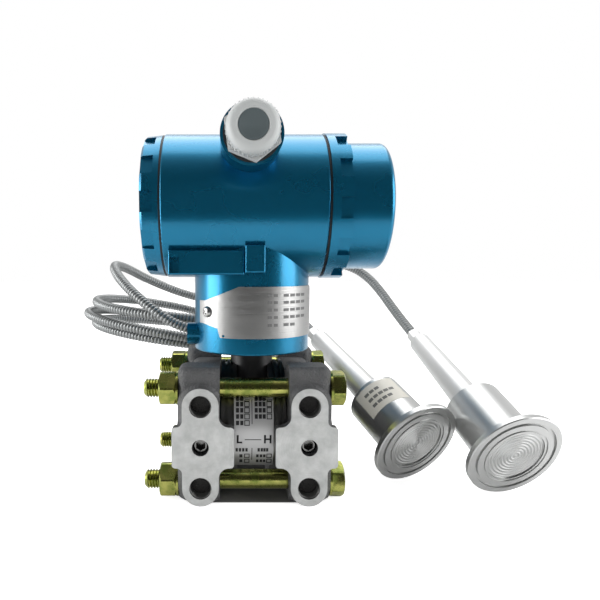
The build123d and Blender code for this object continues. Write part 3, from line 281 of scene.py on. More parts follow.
def wound_conduit(name, path):
    """A tube along a line, whose wall rises and falls as the wound strip does."""
    stations = at_steps(path, ARMOUR_PITCH * MM / ARMOUR_STEPS)
    side = (stations[1] - stations[0]).orthogonal().normalized()
    vertices, faces, sunk = [], [], []
    for k, here in enumerate(stations):
        ahead = (stations[min(k + 1, len(stations) - 1)] - stations[max(k - 1, 0)]).normalized()
        side = (side - ahead * side.dot(ahead)).normalized()
        up = ahead.cross(side)
        for j in range(ARMOUR_SIDES):
            angle = 2 * math.pi * j / ARMOUR_SIDES
            wave = 0.5 - 0.5 * math.cos(2 * math.pi * (k / ARMOUR_STEPS + j / ARMOUR_SIDES))
            radius = (ARMOUR_R - ARMOUR_GROOVE * wave ** 2.5) * MM
            sunk.append(wave ** 2.5)
            vertices.append(here + (side * math.cos(angle) + up * math.sin(angle)) * radius)
    for k in range(len(stations) - 1):
        for j in range(ARMOUR_SIDES):
            a, b = k * ARMOUR_SIDES + j, k * ARMOUR_SIDES + (j + 1) % ARMOUR_SIDES
            faces.append((a, b, b + ARMOUR_SIDES, a + ARMOUR_SIDES))
    faces.append(tuple(reversed(range(ARMOUR_SIDES))))
    faces.append(tuple(range((len(stations) - 1) * ARMOUR_SIDES, len(stations) * ARMOUR_SIDES)))
    mesh = bpy.data.meshes.new(name)
    mesh.from_pydata(vertices, [], faces)
    mesh.shade_smooth()
    mesh.attributes.new("groove", "FLOAT", "POINT").data.foreach_set("value", sunk)
    conduit = bpy.data.objects.new(name, mesh)
    bpy.context.scene.collection.objects.link(conduit)
    return conduit


conduit_steel = new_material("conduit_steel", (0.20, 0.205, 0.205), 0.42, 0.75)
tree = conduit_steel.node_tree
# Painted shade: the conduit's colour darkens in its grooves, as deep as they are sunk.
groove = wire(tree, "ShaderNodeAttribute", attribute_name="groove")
groove_painted_shade = wire(tree, "ShaderNodeMix", [(0, groove.outputs["Fac"])], data_type="RGBA")
groove_painted_shade.inputs[6].default_value = (0.27, 0.28, 0.28, 1.0)
groove_painted_shade.inputs[7].default_value = (0.085, 0.09, 0.09, 1.0)
tree.links.new(groove_painted_shade.outputs[2], tree.nodes["Principled BSDF"].inputs["Base Color"])
ROUTES = {
    "low": [(-27.0, PORT_EXIT_Y, 0.0)] + LOW_LEAD + coil_turns() + LOW_TAIL
    + [seal_exit("low", LOW_TAIL_STANDOFF), seal_exit("low")],
    "high": [(27.0, PORT_EXIT_Y, 0.0)] + HIGH_ROUTE
    + [seal_exit("high", HIGH_TAIL_STANDOFF), seal_exit("high")]}
REPLACED = {"low": ("low_capillary_lead", "low_capillary_coil", "low_capillary_tail"),
            "high": ("high_capillary",)}
for name, points in ROUTES.items():
    path = centreline(f"{name}_route", points)
    conduit = wound_conduit(f"{name}_armoured_capillary", path)
    conduit.data.materials.append(conduit_steel)
    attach(conduit, "sensor_module")
    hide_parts(*REPLACED[name])

# Electronics housing and its screwed covers: aluminium castings in gloss blue enamel, sprayed thick
# enough to leave a slight orange peel. The conduit plug is painted with them.
ENAMEL = (0.004, 0.150, 0.275)


def paint(node, material):
    """Gives a CAD node one finish."""
    mesh = nodes[node].data
    mesh.materials.clear()
    mesh.materials.append(material)


# Speckle: two sizes of noise on the piece's own coordinates, as a height and as a shade
speckle = bpy.data.node_groups.new("speckle", "ShaderNodeTree")
for socket in ("Scale", "Patch Scale"):
    speckle.interface.new_socket(socket, in_out="INPUT", socket_type="NodeSocketFloat")
for socket in ("Height", "Patches"):
    speckle.interface.new_socket(socket, in_out="OUTPUT", socket_type="NodeSocketFloat")
given = speckle.nodes.new("NodeGroupInput")
result = speckle.nodes.new("NodeGroupOutput")
place = wire(speckle, "ShaderNodeTexCoord").outputs["Object"]
fine = wire(speckle, "ShaderNodeTexNoise", [("Vector", place), ("Scale", given.outputs["Scale"])], Detail=2.0,
            Roughness=0.5)
broad = wire(speckle, "ShaderNodeTexNoise", [("Vector", place), ("Scale", given.outputs["Patch Scale"])],
             Detail=4.0, Roughness=0.6)
speckle.links.new(fine.outputs["Fac"], result.inputs["Height"])
speckle.links.new(broad.outputs["Fac"], result.inputs["Patches"])


def add_speckle(material, scale, patch_scale, bump, depth, tint=None, rough=None):
    """Puts the speckle in a material: a bump, and patches that shift its colour or its roughness.
    Gives back the speckle's node and the bump's."""
    tree = material.node_tree
    shader = tree.nodes["Principled BSDF"]
    grains = wire(tree, "ShaderNodeGroup", node_tree=speckle)
    grains.inputs["Scale"].default_value = scale
    grains.inputs["Patch Scale"].default_value = patch_scale
    relief = wire(tree, "ShaderNodeBump", [("Height", grains.outputs["Height"])], Strength=bump,
                  Distance=depth)
    tree.links.new(relief.outputs[0], shader.inputs["Normal"])
    if tint:
        ramp = wire(tree, "ShaderNodeMapRange", [("Value", grains.outputs["Patches"])], From_Min=0.35,
                    From_Max=0.65)
        mix = wire(tree, "ShaderNodeMix", [(0, ramp.outputs[0])], data_type="RGBA")
        mix.inputs[6].default_value = shader.inputs["Base Color"].default_value
        mix.inputs[7].default_value = (*tint, 1.0)
        tree.links.new(mix.outputs[2], shader.inputs["Base Color"])
    if rough:
        spread = wire(tree, "ShaderNodeMapRange", [("Value", grains.outputs["Patches"])], From_Min=0.3,
                      From_Max=0.7, To_Min=rough[0], To_Max=rough[1])
        tree.links.new(spread.outputs[0], shader.inputs["Roughness"])
    return grains, relief


enamel = new_material("gloss_enamel", ENAMEL, 0.27, 0.8, Coat_Weight=0.25, Coat_Roughness=0.14)
add_speckle(enamel, 900.0, 24.0, 0.12, 0.0003, rough=(0.25, 0.32))
for node in ("housing_casting", "terminal_cover", "display_cover", "conduit_plug"):
    paint(node, enamel)

# Sealing rings, cable-gland washer and window gasket: black nitrile rubber, squeezed in their seats.
rubber = new_material("black_nitrile", (0.007, 0.009, 0.011), 0.6)
for node in ("terminal_cover_o_ring", "display_cover_o_ring", "window_gasket", "cell_gaskets",
             "gland_washer"):
    paint(node, rubber)

# Cable gland: grey moulded nylon with a slate rubber seal, closed by a thin blanking disc until a
# cable is drawn in. The disc is pushed into the nut's mouth and travels with the seal.
BLANK_R = 6.7
BLANK_THICK = 0.8
BLANK_RIM = 1.2
BLANK_DISH_R = BLANK_R - 1.8
GLAND_X = -2.3
BLANK_Y = -24.9
GLAND_Z = 150.55
nylon = new_material("grey_nylon", (0.44, 0.455, 0.452), 0.48)
add_speckle(nylon, 700.0, 90.0, 0.10, 0.0003)
slate = new_material("slate_rubber", (0.075, 0.095, 0.10), 0.5)
for node, finish in (("gland_body", nylon), ("gland_nut", nylon), ("gland_seal", slate)):
    paint(node, finish)


def lathe(name, outline, steps=64):
    """A turned solid about Z from (radius, height) points in millimetres: the outline is drawn point by
    point from one vertex and spun a full turn."""
    bpy.ops.object.select_all(action="DESELECT")
    bpy.ops.mesh.primitive_plane_add(size=0.001, location=(0, 0, 0))
    piece = bpy.context.active_object
    piece.name = name
    bpy.ops.object.mode_set(mode="EDIT")
    bpy.ops.mesh.merge(type="CENTER")
    here = Vector((outline[0][0] * MM, 0, outline[0][1] * MM))
    bpy.ops.transform.translate(value=here)
    for radius, height in outline[1:]:
        there = Vector((radius * MM, 0, height * MM))
        bpy.ops.mesh.extrude_region_move(TRANSFORM_OT_translate={"value": there - here})
        here = there
    bpy.ops.mesh.select_all(action="SELECT")
    bpy.ops.mesh.spin(steps=steps, angle=2 * math.pi, center=(0, 0, 0), axis=(0, 0, 1))
    bpy.ops.mesh.select_all(action="SELECT")
    bpy.ops.mesh.remove_doubles(threshold=0.000002)
    bpy.ops.mesh.normals_make_consistent(inside=False)
    bpy.ops.object.mode_set(mode="OBJECT")
    bpy.ops.object.shade_smooth_by_angle(angle=math.radians(35))
    return piece


def settle(piece, place):
    """Moves a piece made about Z to its place, and leaves its object at the origin."""
    select_only(piece)
    piece.matrix_world = place
    bpy.context.view_layer.update()
    bpy.ops.object.transform_apply(location=True, rotation=True, scale=True)


def aimed(origin, out, upper):
    """The place of a piece whose +Z points out and whose +X points to its upper side, in millimetres."""
    z = Vector(out).normalized()
    x = Vector(upper).normalized()
    turn = Matrix((x, z.cross(x), z)).transposed().to_4x4()
    return Matrix.Translation(Vector(origin) * MM) @ turn


blank = lathe("gland_blanking_disc", [(0, 0), (BLANK_R, 0), (BLANK_R, BLANK_THICK),
                                      (BLANK_R - BLANK_RIM, BLANK_THICK),
                                      (BLANK_DISH_R, BLANK_THICK - 0.35), (0, BLANK_THICK - 0.5)])
settle(blank, aimed((GLAND_X, BLANK_Y, GLAND_Z), (0, -1, 0), (0, 0, 1)))
blank.data.materials.append(slate)
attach(blank, "gland_compression")

# Process flanges: blasted stainless castings, darker than their two pads, which are milled flat and
# keep faint rings round the centre port. The walls of the bolt holes are painted near black as shade.
PAD_DEPTH = 0.0003
REAR_PAD_Y = 0.091
HOLE_R = 5.55
HOLE_X = 27.0
HOLE_Z = 20.65
RING_WAVES = 5200.0
casting = new_material("blasted_casting", (0.105, 0.107, 0.110), 0.52, 0.35)
grains, cast_bump = add_speckle(casting, 1100.0, 140.0, 0.9, 0.0008)
tree = casting.node_tree
shader = tree.nodes["Principled BSDF"]
spot = wire(tree, "ShaderNodeSeparateXYZ", [(0, wire(tree, "ShaderNodeTexCoord").outputs["Object"])])
front = wire(tree, "ShaderNodeMath", [(0, spot.outputs["Y"])], operation="LESS_THAN")
front.inputs[1].default_value = PAD_DEPTH
rear = wire(tree, "ShaderNodeMath", [(0, spot.outputs["Y"])], operation="GREATER_THAN")
rear.inputs[1].default_value = REAR_PAD_Y - PAD_DEPTH
milled = wire(tree, "ShaderNodeMath", [(0, front.outputs[0]), (1, rear.outputs[0])], operation="MAXIMUM")
tone = wire(tree, "ShaderNodeMapRange", [("Value", grains.outputs["Patches"])], From_Min=0.3, From_Max=0.7,
            To_Min=0.78, To_Max=1.12)
cast_colour = wire(tree, "ShaderNodeMix", [(0, milled.outputs[0])], data_type="RGBA")
cast_colour.inputs[6].default_value = (0.088, 0.089, 0.091, 1.0)
cast_colour.inputs[7].default_value = (0.46, 0.468, 0.46, 1.0)
shaded = wire(tree, "ShaderNodeVectorMath", [(0, cast_colour.outputs[2])], operation="SCALE")
tree.links.new(tone.outputs[0], shaded.inputs["Scale"])
across = wire(tree, "ShaderNodeMath", [(0, spot.outputs["X"])], operation="ABSOLUTE")
beside = wire(tree, "ShaderNodeMath", [(0, across.outputs[0])], operation="SUBTRACT")
beside.inputs[1].default_value = HOLE_X * MM
flat = wire(tree, "ShaderNodeCombineXYZ", [("X", beside.outputs[0]), ("Y", spot.outputs["Z"])])
from_port = wire(tree, "ShaderNodeVectorMath", [(0, flat.outputs[0])], operation="LENGTH")
# Painted shade: the walls of the pads' bolt holes are painted near black.
to_hole = wire(tree, "ShaderNodeMath", [(0, spot.outputs["Z"])], operation="ABSOLUTE")
off_hole = wire(tree, "ShaderNodeMath", [(0, to_hole.outputs[0])], operation="SUBTRACT")
off_hole.inputs[1].default_value = HOLE_Z * MM
hole_flat = wire(tree, "ShaderNodeCombineXYZ", [("X", beside.outputs[0]), ("Y", off_hole.outputs[0])])
from_hole = wire(tree, "ShaderNodeVectorMath", [(0, hole_flat.outputs[0])], operation="LENGTH")
in_hole = wire(tree, "ShaderNodeMath", [(0, from_hole.outputs["Value"])], operation="LESS_THAN")
in_hole.inputs[1].default_value = (HOLE_R + 0.12) * MM
sunk_wall = wire(tree, "ShaderNodeMath", [(0, in_hole.outputs[0]), (1, milled.outputs[0])],
                 operation="GREATER_THAN")
hole_painted_shade = wire(tree, "ShaderNodeMix", [(0, sunk_wall.outputs[0]), (6, shaded.outputs[0])], data_type="RGBA")
hole_painted_shade.inputs[7].default_value = (0.030, 0.029, 0.028, 1.0)
tree.links.new(hole_painted_shade.outputs[2], shader.inputs["Base Color"])
rings = wire(tree, "ShaderNodeMath", [(0, from_port.outputs["Value"])], operation="MULTIPLY")
rings.inputs[1].default_value = RING_WAVES
ring_wave = wire(tree, "ShaderNodeMath", [(0, rings.outputs[0])], operation="SINE")
ring_relief = wire(tree, "ShaderNodeBump", [("Height", ring_wave.outputs[0])], Strength=0.10, Distance=0.0002)
bump_choice = wire(tree, "ShaderNodeMix", [(0, milled.outputs[0])], data_type="VECTOR")
tree.links.new(cast_bump.outputs[0], bump_choice.inputs[4])
tree.links.new(ring_relief.outputs[0], bump_choice.inputs[5])
tree.links.new(bump_choice.outputs[1], shader.inputs["Normal"])
rough_choice = wire(tree, "ShaderNodeMapRange", [("Value", milled.outputs[0])], To_Min=0.55, To_Max=0.36)
tree.links.new(rough_choice.outputs[0], shader.inputs["Roughness"])
for node in ("low_side_flange", "high_side_flange"):
    paint(node, casting)

# Threads in the pads' eight bolt holes: 7/16-20 for the manifold in front, M10 for the bracket behind,
# cut in the metal of the pads. Each is one helical ridge that stands in from the hole's wall.
AXIS_Y = 45.5
BRACKET_HOLE_R = 5.0
HOLE_DEPTH = 6.6
HOLE_LEAD_IN = 0.35
RIDGE_HEIGHT = 0.62
RIDGE_SEAT = 0.08
HOLE_SETS = ((HOLE_LEAD_IN, 1, HOLE_R, 1.27), (2 * AXIS_Y - HOLE_LEAD_IN, -1, BRACKET_HOLE_R, 1.5))


def thread_ridge(name, radius, height, pitch, turns):
    """A closed helical ridge of triangular section about Z, from z = 0 up: the section is screwed round
    by a modifier. A negative height makes it stand inwards."""
    bpy.ops.object.select_all(action="DESELECT")
    bpy.ops.mesh.primitive_plane_add(size=0.001, location=(0, 0, 0))
    piece = bpy.context.active_object
    piece.name = name
    bpy.ops.object.mode_set(mode="EDIT")
    bpy.ops.mesh.merge(type="CENTER")
    half = 0.46 * pitch
    corners = [Vector((radius * MM, 0, 0)), Vector(((radius + height) * MM, 0, half * MM)),
               Vector((radius * MM, 0, 2 * half * MM))]
    bpy.ops.transform.translate(value=corners[0])
    for a, b in zip(corners, corners[1:]):
        bpy.ops.mesh.extrude_region_move(TRANSFORM_OT_translate={"value": b - a})
    bpy.ops.mesh.select_all(action="SELECT")
    bpy.ops.mesh.edge_face_add()
    bpy.ops.mesh.select_all(action="SELECT")
    bpy.ops.mesh.delete(type="ONLY_FACE")
    bpy.ops.object.mode_set(mode="OBJECT")
    screw = piece.modifiers.new("thread", "SCREW")
    screw.axis = "Z"
    screw.angle = 2 * math.pi
    screw.screw_offset = pitch * MM
    screw.iterations = turns
    screw.steps = 28
    screw.render_steps = 28
    bpy.ops.object.modifier_apply(modifier="thread")
    bpy.ops.object.mode_set(mode="EDIT")
    bpy.ops.mesh.select_all(action="SELECT")
    bpy.ops.mesh.remove_doubles(threshold=0.000002)
    bpy.ops.mesh.fill_holes(sides=3)
    bpy.ops.mesh.select_all(action="SELECT")
    bpy.ops.mesh.normals_make_consistent(inside=False)
    bpy.ops.object.mode_set(mode="OBJECT")
    return piece


def copy_to(piece, place, name):
    """A copy with its own mesh, set in its place."""
    twin = piece.copy()
    twin.data = piece.data.copy()
    twin.name = name
    bpy.context.scene.collection.objects.link(twin)
    settle(twin, place)
    return twin


def joined(name, pieces):
    """Several like pieces as one object."""
    select_only(*pieces)
    bpy.ops.object.join()
    pieces[0].name = name
    return pieces[0]


threads = []
for y, inward, hole_r, pitch in HOLE_SETS:
    hole_thread = thread_ridge("hole_thread", hole_r + RIDGE_SEAT, -RIDGE_HEIGHT - RIDGE_SEAT, pitch,
                               int(HOLE_DEPTH / pitch))
    for x in (-HOLE_X, HOLE_X):
        for z in (-HOLE_Z, HOLE_Z):
            threads.append(copy_to(hole_thread, aimed((x, y, z), (0, inward, 0), (0, 0, 1)), "thread"))
    bpy.data.objects.remove(hole_thread)
cut_steel = new_material("cut_steel", (0.22, 0.22, 0.215), 0.32, 0.8)
hole_threads = joined("manifold_hole_threads", threads)
hole_threads.data.materials.append(cut_steel)
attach(hole_threads, "sensor_module")

# Flange bolts: four M10 steel bolts through both flanges, with nuts and washers, zinc plated and
# yellow-green passivated. The plating is mottled, and each threaded end stands out of its nut.
BOLT_R = 5.0
THREAD_ROOT_R = 4.3
THREAD_PITCH = 1.5
THREAD_TURNS = 6
BOLT_HEAD_X = 39.8
BOLT_HEAD = 6.4
NUT_END_X = -48.2
BOLT_END_X = -56.2
HEX_AF = 16.0
HEX_TIP_R = 9.0
HEX_CROWN = 0.8
BOLT_PLACES = ((-32.0, -24.0, 22.0), (-32.0, 24.0, 8.0), (32.0, -24.0, 41.0), (32.0, 24.0, 12.0))
CELL_Z = 3.25
zinc = new_material("passivated_zinc", (0.44, 0.43, 0.125), 0.24, 1.0)
add_speckle(zinc, 600.0, 160.0, 0.14, 0.0003, tint=(0.20, 0.245, 0.055), rough=(0.16, 0.34))
for node in ("flange_nuts", "flange_washers"):
    paint(node, zinc)
grip = BOLT_HEAD_X - NUT_END_X
reach = BOLT_HEAD_X - BOLT_END_X
shank = lathe("shank", [(0, -reach), (THREAD_ROOT_R - 0.9, -reach), (THREAD_ROOT_R, -reach + 0.9),
                        (THREAD_ROOT_R, -grip + 1.0), (BOLT_R, -grip + 1.0), (BOLT_R, 0.5), (0, 0.5)],
              steps=40)
crown = lathe("crown", [(0, 0), (HEX_TIP_R, 0), (HEX_TIP_R, BOLT_HEAD - HEX_CROWN),
                        (HEX_AF / 2 - 0.3, BOLT_HEAD), (0, BOLT_HEAD)], steps=64)
bpy.ops.mesh.primitive_cylinder_add(vertices=6, radius=HEX_AF / math.sqrt(3) * MM, depth=BOLT_HEAD * MM,
                                    location=(0, 0, BOLT_HEAD / 2 * MM),
                                    rotation=(0, 0, math.radians(30)))
head = bpy.context.active_object
bpy.ops.object.transform_apply(location=True, rotation=True, scale=True)
rounded = head.modifiers.new("crown", "BOOLEAN")
rounded.operation = "INTERSECT"
rounded.object = crown
bpy.ops.object.modifier_apply(modifier="crown")
bpy.data.objects.remove(crown)
ridge = thread_ridge("ridge", THREAD_ROOT_R - 0.15, BOLT_R - THREAD_ROOT_R + 0.15, THREAD_PITCH,
                     THREAD_TURNS)
settle(ridge, Matrix.Translation((0, 0, (-reach + 0.5) * MM)))
bolt = joined("bolt", [shank, head, ridge])
select_only(bolt)
bpy.ops.object.shade_smooth_by_angle(angle=math.radians(32))
bolts = []
for y, z, turn in BOLT_PLACES:
    angle = math.radians(turn - 30.0)
    upper = (0, -math.sin(angle), math.cos(angle))
    bolts.append(copy_to(bolt, aimed((BOLT_HEAD_X, AXIS_Y + y, CELL_Z + z), (1, 0, 0), upper), "bolt"))
bpy.data.objects.remove(bolt)
threaded_bolts = joined("threaded_flange_bolts", bolts)
threaded_bolts.data.materials.clear()
threaded_bolts.data.materials.append(zinc)
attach(threaded_bolts, "sensor_module")
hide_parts("flange_bolts")

# Sensor cell and neck: the cell is turned stainless steel, clamped between the flanges, and its colour is
# darker than the other turned steel as painted shade; the neck above it is coated satin black.
def ringed(name, color, roughness, scale, bump, axis_turn=(0, 0, 0), centre=(0, 0, 0)):
    """Turned steel whose tool marks run round its own axis."""
    material = new_material(name, color, roughness, 1.0)
    tree = material.node_tree
    spot = wire(tree, "ShaderNodeTexCoord").outputs["Object"]
    shift = wire(tree, "ShaderNodeMapping", [("Vector", spot)], vector_type="TEXTURE")
    shift.inputs["Location"].default_value = centre
    shift.inputs["Rotation"].default_value = axis_turn
    split = wire(tree, "ShaderNodeSeparateXYZ", [(0, shift.outputs[0])])
    flat = wire(tree, "ShaderNodeCombineXYZ", [("X", split.outputs["X"]), ("Y", split.outputs["Y"])])
    radius = wire(tree, "ShaderNodeVectorMath", [(0, flat.outputs[0])], operation="LENGTH")
    line = wire(tree, "ShaderNodeCombineXYZ", [("X", radius.outputs["Value"]), ("Y", split.outputs["Z"])])
    marks = wire(tree, "ShaderNodeTexNoise", [("Vector", line.outputs[0])], Scale=scale, Detail=3.0,
                 Roughness=0.7)
    relief = wire(tree, "ShaderNodeBump", [("Height", marks.outputs["Fac"])], Strength=bump, Distance=0.0002)
    tree.links.new(relief.outputs[0], tree.nodes["Principled BSDF"].inputs["Normal"])
    return material


# Painted shade: the cell's steel is darker than the other turned steel, for the shade between the flanges.
cell_steel = ringed("turned_cell_steel", (0.26, 0.26, 0.255), 0.34, 2600.0, 0.25, (0, math.radians(90), 0),
                    (0, AXIS_Y * MM, CELL_Z * MM))
paint("sensor_cell", cell_steel)
plain_steel = new_material("turned_steel", (0.46, 0.46, 0.45), 0.30, 1.0)
for node in ("low_capillary_adapter", "high_capillary_adapter", "isolating_diaphragms", "neck_lock_screw",
             "nameplate_screws", "terminal_screws", "board_spacers", "window_ring"):
    paint(node, plain_steel)
paint("port_plugs", new_material("oiled_plug_steel", (0.20, 0.20, 0.195), 0.24, 1.0))
neck_black = new_material("satin_black", (0.008, 0.008, 0.009), 0.38)
paint("sensor_neck", neck_black)

# Cell label: a satin silver film round the front of the cell, printed in black with two columns of
# tick boxes, the low and high sides and a lower block.
CELL_LABEL_R = 33.3
LABEL_ROWS = (17.4, 14.8, 11.9, 8.9, 5.7)
INK_PROUD = 0.05
INK_THICK = 0.06
LETTER_BOLD = 0.2
label_film = new_material("silver_film", (0.50, 0.50, 0.50), 0.36, 0.65)
add_speckle(label_film, 1800.0, 200.0, 0.06, 0.0002)
paint("cell_label", label_film)
ink = new_material("black_ink", (0.012, 0.012, 0.013), 0.5)


def begin_print(name):
    """An empty flat print, left in edit mode. It is drawn in XY, in millimetres, and faces +Z."""
    bpy.ops.object.select_all(action="DESELECT")
    bpy.ops.mesh.primitive_plane_add(size=MM, location=(0, 0, 0))
    sheet = bpy.context.active_object
    sheet.name = name
    bpy.ops.object.mode_set(mode="EDIT")
    bpy.ops.mesh.select_all(action="SELECT")
    bpy.ops.mesh.delete(type="VERT")
    return sheet


def print_bar(x, y, width, height, cuts=2, outline=0.0):
    """One printed bar in the open print or, with an outline, an empty box of that line width."""
    bpy.ops.mesh.select_all(action="DESELECT")
    bpy.ops.mesh.primitive_plane_add(size=MM, location=(x * MM, y * MM, 0))
    bpy.ops.transform.resize(value=(width, height, 1), center_override=(x * MM, y * MM, 0))
    if outline:
        bpy.ops.mesh.inset(thickness=outline * MM)
        bpy.ops.mesh.delete(type="FACE")
    elif cuts:
        bpy.ops.mesh.subdivide(number_cuts=cuts)


def printed_letter(letter, x, y, size):
    """One letter or number as a flat mesh in XY, centred on its place."""
    bpy.ops.object.select_all(action="DESELECT")
    bpy.ops.object.text_add(location=(x * MM, y * MM, 0))
    text = bpy.context.active_object
    text.data.body = letter
    text.data.size = size * MM
    text.data.align_x = "CENTER"
    text.data.align_y = "CENTER"
    text.data.resolution_u = 4
    text.data.offset = LETTER_BOLD * MM
    bpy.ops.object.convert(target="MESH")
    bpy.ops.object.transform_apply(location=True, rotation=True, scale=True)
    return bpy.context.active_object


def lay_print(sheet, place, node, material, body):
    """Holds a flat print over a node's surface, presses it on and gives it the thickness of its ink."""
    select_only(sheet)
    sheet.matrix_world = place
    bpy.context.view_layer.update()
    pressed = sheet.modifiers.new("pressed", "SHRINKWRAP")
    pressed.target = nodes[node]
    pressed.wrap_method = "PROJECT"
    pressed.use_project_z = True
    pressed.use_negative_direction = True
    pressed.use_positive_direction = False
    pressed.offset = INK_PROUD * MM
    bpy.ops.object.modifier_apply(modifier="pressed")
    ink_layer = sheet.modifiers.new("ink", "SOLIDIFY")
    ink_layer.thickness = INK_THICK * MM
    ink_layer.offset = 0.0
    bpy.ops.object.modifier_apply(modifier="ink")
    bpy.ops.object.transform_apply(location=True, rotation=True, scale=True)
    sheet.data.materials.clear()
    sheet.data.materials.append(material)
    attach(sheet, body)


print_sheet = begin_print("cell_label_print")
for row in LABEL_ROWS:
    for x in (-8.4, -6.2):
        print_bar(x, row, 1.6, 2.2)
    print_bar(-3.5, row, 2.8, 2.8, outline=0.45)
for row in LABEL_ROWS[:4]:
    for x in (1.3, 3.4, 5.4):
        print_bar(x, row, 1.6, 2.2)
    print_bar(8.1, row, 2.8, 2.8, outline=0.45)
print_bar(-0.9, 11.9, 0.4, 13.6, cuts=6)
print_bar(-0.4, -3.0, 8.6, 0.4)
for x in (-8.8, -7.1, -5.4, -3.7, 2.6, 4.2, 5.6, 7.0):
    print_bar(x, -8.7, 1.2, 2.0)
print_bar(-0.9, -11.2, 0.4, 7.2, cuts=6)
for row in (-12.3, -15.5):
    print_bar(-6.6, row, 1.6, 1.9)
    print_bar(-3.5, row, 2.8, 2.6, outline=0.45)
    for x in (2.0, 3.9, 5.6):
        print_bar(x, row, 1.3, 1.7)
    print_bar(8.1, row, 2.8, 2.6, outline=0.45)
bpy.ops.object.mode_set(mode="OBJECT")
letters = [printed_letter("L", -7.6, -3.0, 6.0), printed_letter("H", 7.2, -3.0, 6.0)]
print_sheet = joined("cell_label_print", [print_sheet] + letters)
over_label = aimed((0, AXIS_Y - CELL_LABEL_R - 2, CELL_Z), (0, -1, 0), (1, 0, 0))
lay_print(print_sheet, over_label, "cell_label", ink, "sensor_module")

# Nameplate: a thin brushed stainless band round the housing's neck, held by a cross-head screw at each
# end and etched with rows of plain bars.
PLATE_R = 32.55
PLATE_SCREW_Z = 65.55
ETCH_MIDDLE_DEG = 34.0
ETCH_FROM = -11.0
ETCH_ROWS = ((74.6, 6), (71.0, 6), (67.2, 6), (63.4, 6), (59.4, 4))
brushed = new_material("brushed_plate", (0.36, 0.36, 0.355), 0.36, 1.0)
tree = brushed.node_tree
spot = wire(tree, "ShaderNodeTexCoord").outputs["Object"]
stretch = wire(tree, "ShaderNodeMapping", [("Vector", spot)])
stretch.inputs["Scale"].default_value = (40.0, 40.0, 3000.0)
strokes = wire(tree, "ShaderNodeTexNoise", [("Vector", stretch.outputs[0])], Scale=1.0, Detail=3.0)
relief = wire(tree, "ShaderNodeBump", [("Height", strokes.outputs["Fac"])], Strength=0.3, Distance=0.0003)
tree.links.new(relief.outputs[0], tree.nodes["Principled BSDF"].inputs["Normal"])
streaks = wire(tree, "ShaderNodeMapRange", [("Value", strokes.outputs["Fac"])], From_Min=0.3, From_Max=0.7,
               To_Min=0.30, To_Max=0.46)
tree.links.new(streaks.outputs[0], tree.nodes["Principled BSDF"].inputs["Roughness"])
paint("nameplate", brushed)
etched = new_material("etched_grey", (0.15, 0.15, 0.15), 0.6, 0.4)
etch_sheet = begin_print("nameplate_print")
for z, count in ETCH_ROWS:
    for k in range(count):
        x = ETCH_FROM + (3.2 * k if k < 2 else 5.0 + 4.3 * (k - 1))
        print_bar(x, z - PLATE_SCREW_Z, 2.1 if k < 2 else 3.3, 1.5, cuts=3)
bpy.ops.object.mode_set(mode="OBJECT")
angle = math.radians(ETCH_MIDDLE_DEG)
out = Vector((math.sin(angle), -math.cos(angle), 0))
foot = out * (PLATE_R + 3)
over_plate = aimed((foot.x, AXIS_Y + foot.y, PLATE_SCREW_Z), out, (math.cos(angle), math.sin(angle), 0))
lay_print(etch_sheet, over_plate, "nameplate", etched, "housing")

# Nameplate screws: steel pan heads with a cross recess, turned in until the plate is held flat.
PLATE_SCREWS = ((222.0, 35.0), (378.0, 10.0))
PAN_R = 3.0
PAN_HEIGHT = 1.75
RECESS_LENGTH = 3.1
RECESS_WIDTH = 0.75
RECESS_DEPTH = 1.0
pan = lathe("pan_head", [(0, -0.3), (PAN_R - 0.1, -0.3), (PAN_R, 0.3), (PAN_R - 0.25, 1.0),
                         (PAN_R - 0.9, 1.5), (PAN_R - 1.7, PAN_HEIGHT), (0, PAN_HEIGHT + 0.1)], steps=40)
for turn in (0, 90):
    bpy.ops.mesh.primitive_cube_add(size=MM, location=(0, 0, (PAN_HEIGHT + 0.5) * MM),
                                    rotation=(0, 0, math.radians(turn)),
                                    scale=(RECESS_LENGTH, RECESS_WIDTH, 2 * RECESS_DEPTH))
    blade = bpy.context.active_object
    bpy.ops.object.transform_apply(location=True, rotation=True, scale=True)
    slot_cut = pan.modifiers.new("recess", "BOOLEAN")
    slot_cut.operation = "DIFFERENCE"
    slot_cut.object = blade
    select_only(pan)
    bpy.ops.object.modifier_apply(modifier="recess")
    bpy.data.objects.remove(blade)
screws = []
for place_deg, turn in PLATE_SCREWS:
    angle = math.radians(place_deg)
    out = Vector((math.cos(angle), math.sin(angle), 0))
    sideways = out.cross(Vector((0, 0, 1)))
    along = sideways * math.sin(math.radians(turn)) + Vector((0, 0, 1)) * math.cos(math.radians(turn))
    foot = out * (PLATE_R - 0.01)
    screws.append(copy_to(pan, aimed((foot.x, AXIS_Y + foot.y, PLATE_SCREW_Z), out, along), "pan_screw"))
bpy.data.objects.remove(pan)
pan_screws = joined("cross_head_plate_screws", screws)
select_only(pan_screws)
bpy.ops.object.shade_smooth_by_angle(angle=math.radians(40))
pan_screws.data.materials.clear()
pan_screws.data.materials.append(plain_steel)
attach(pan_screws, "housing")
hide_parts("nameplate_screws")

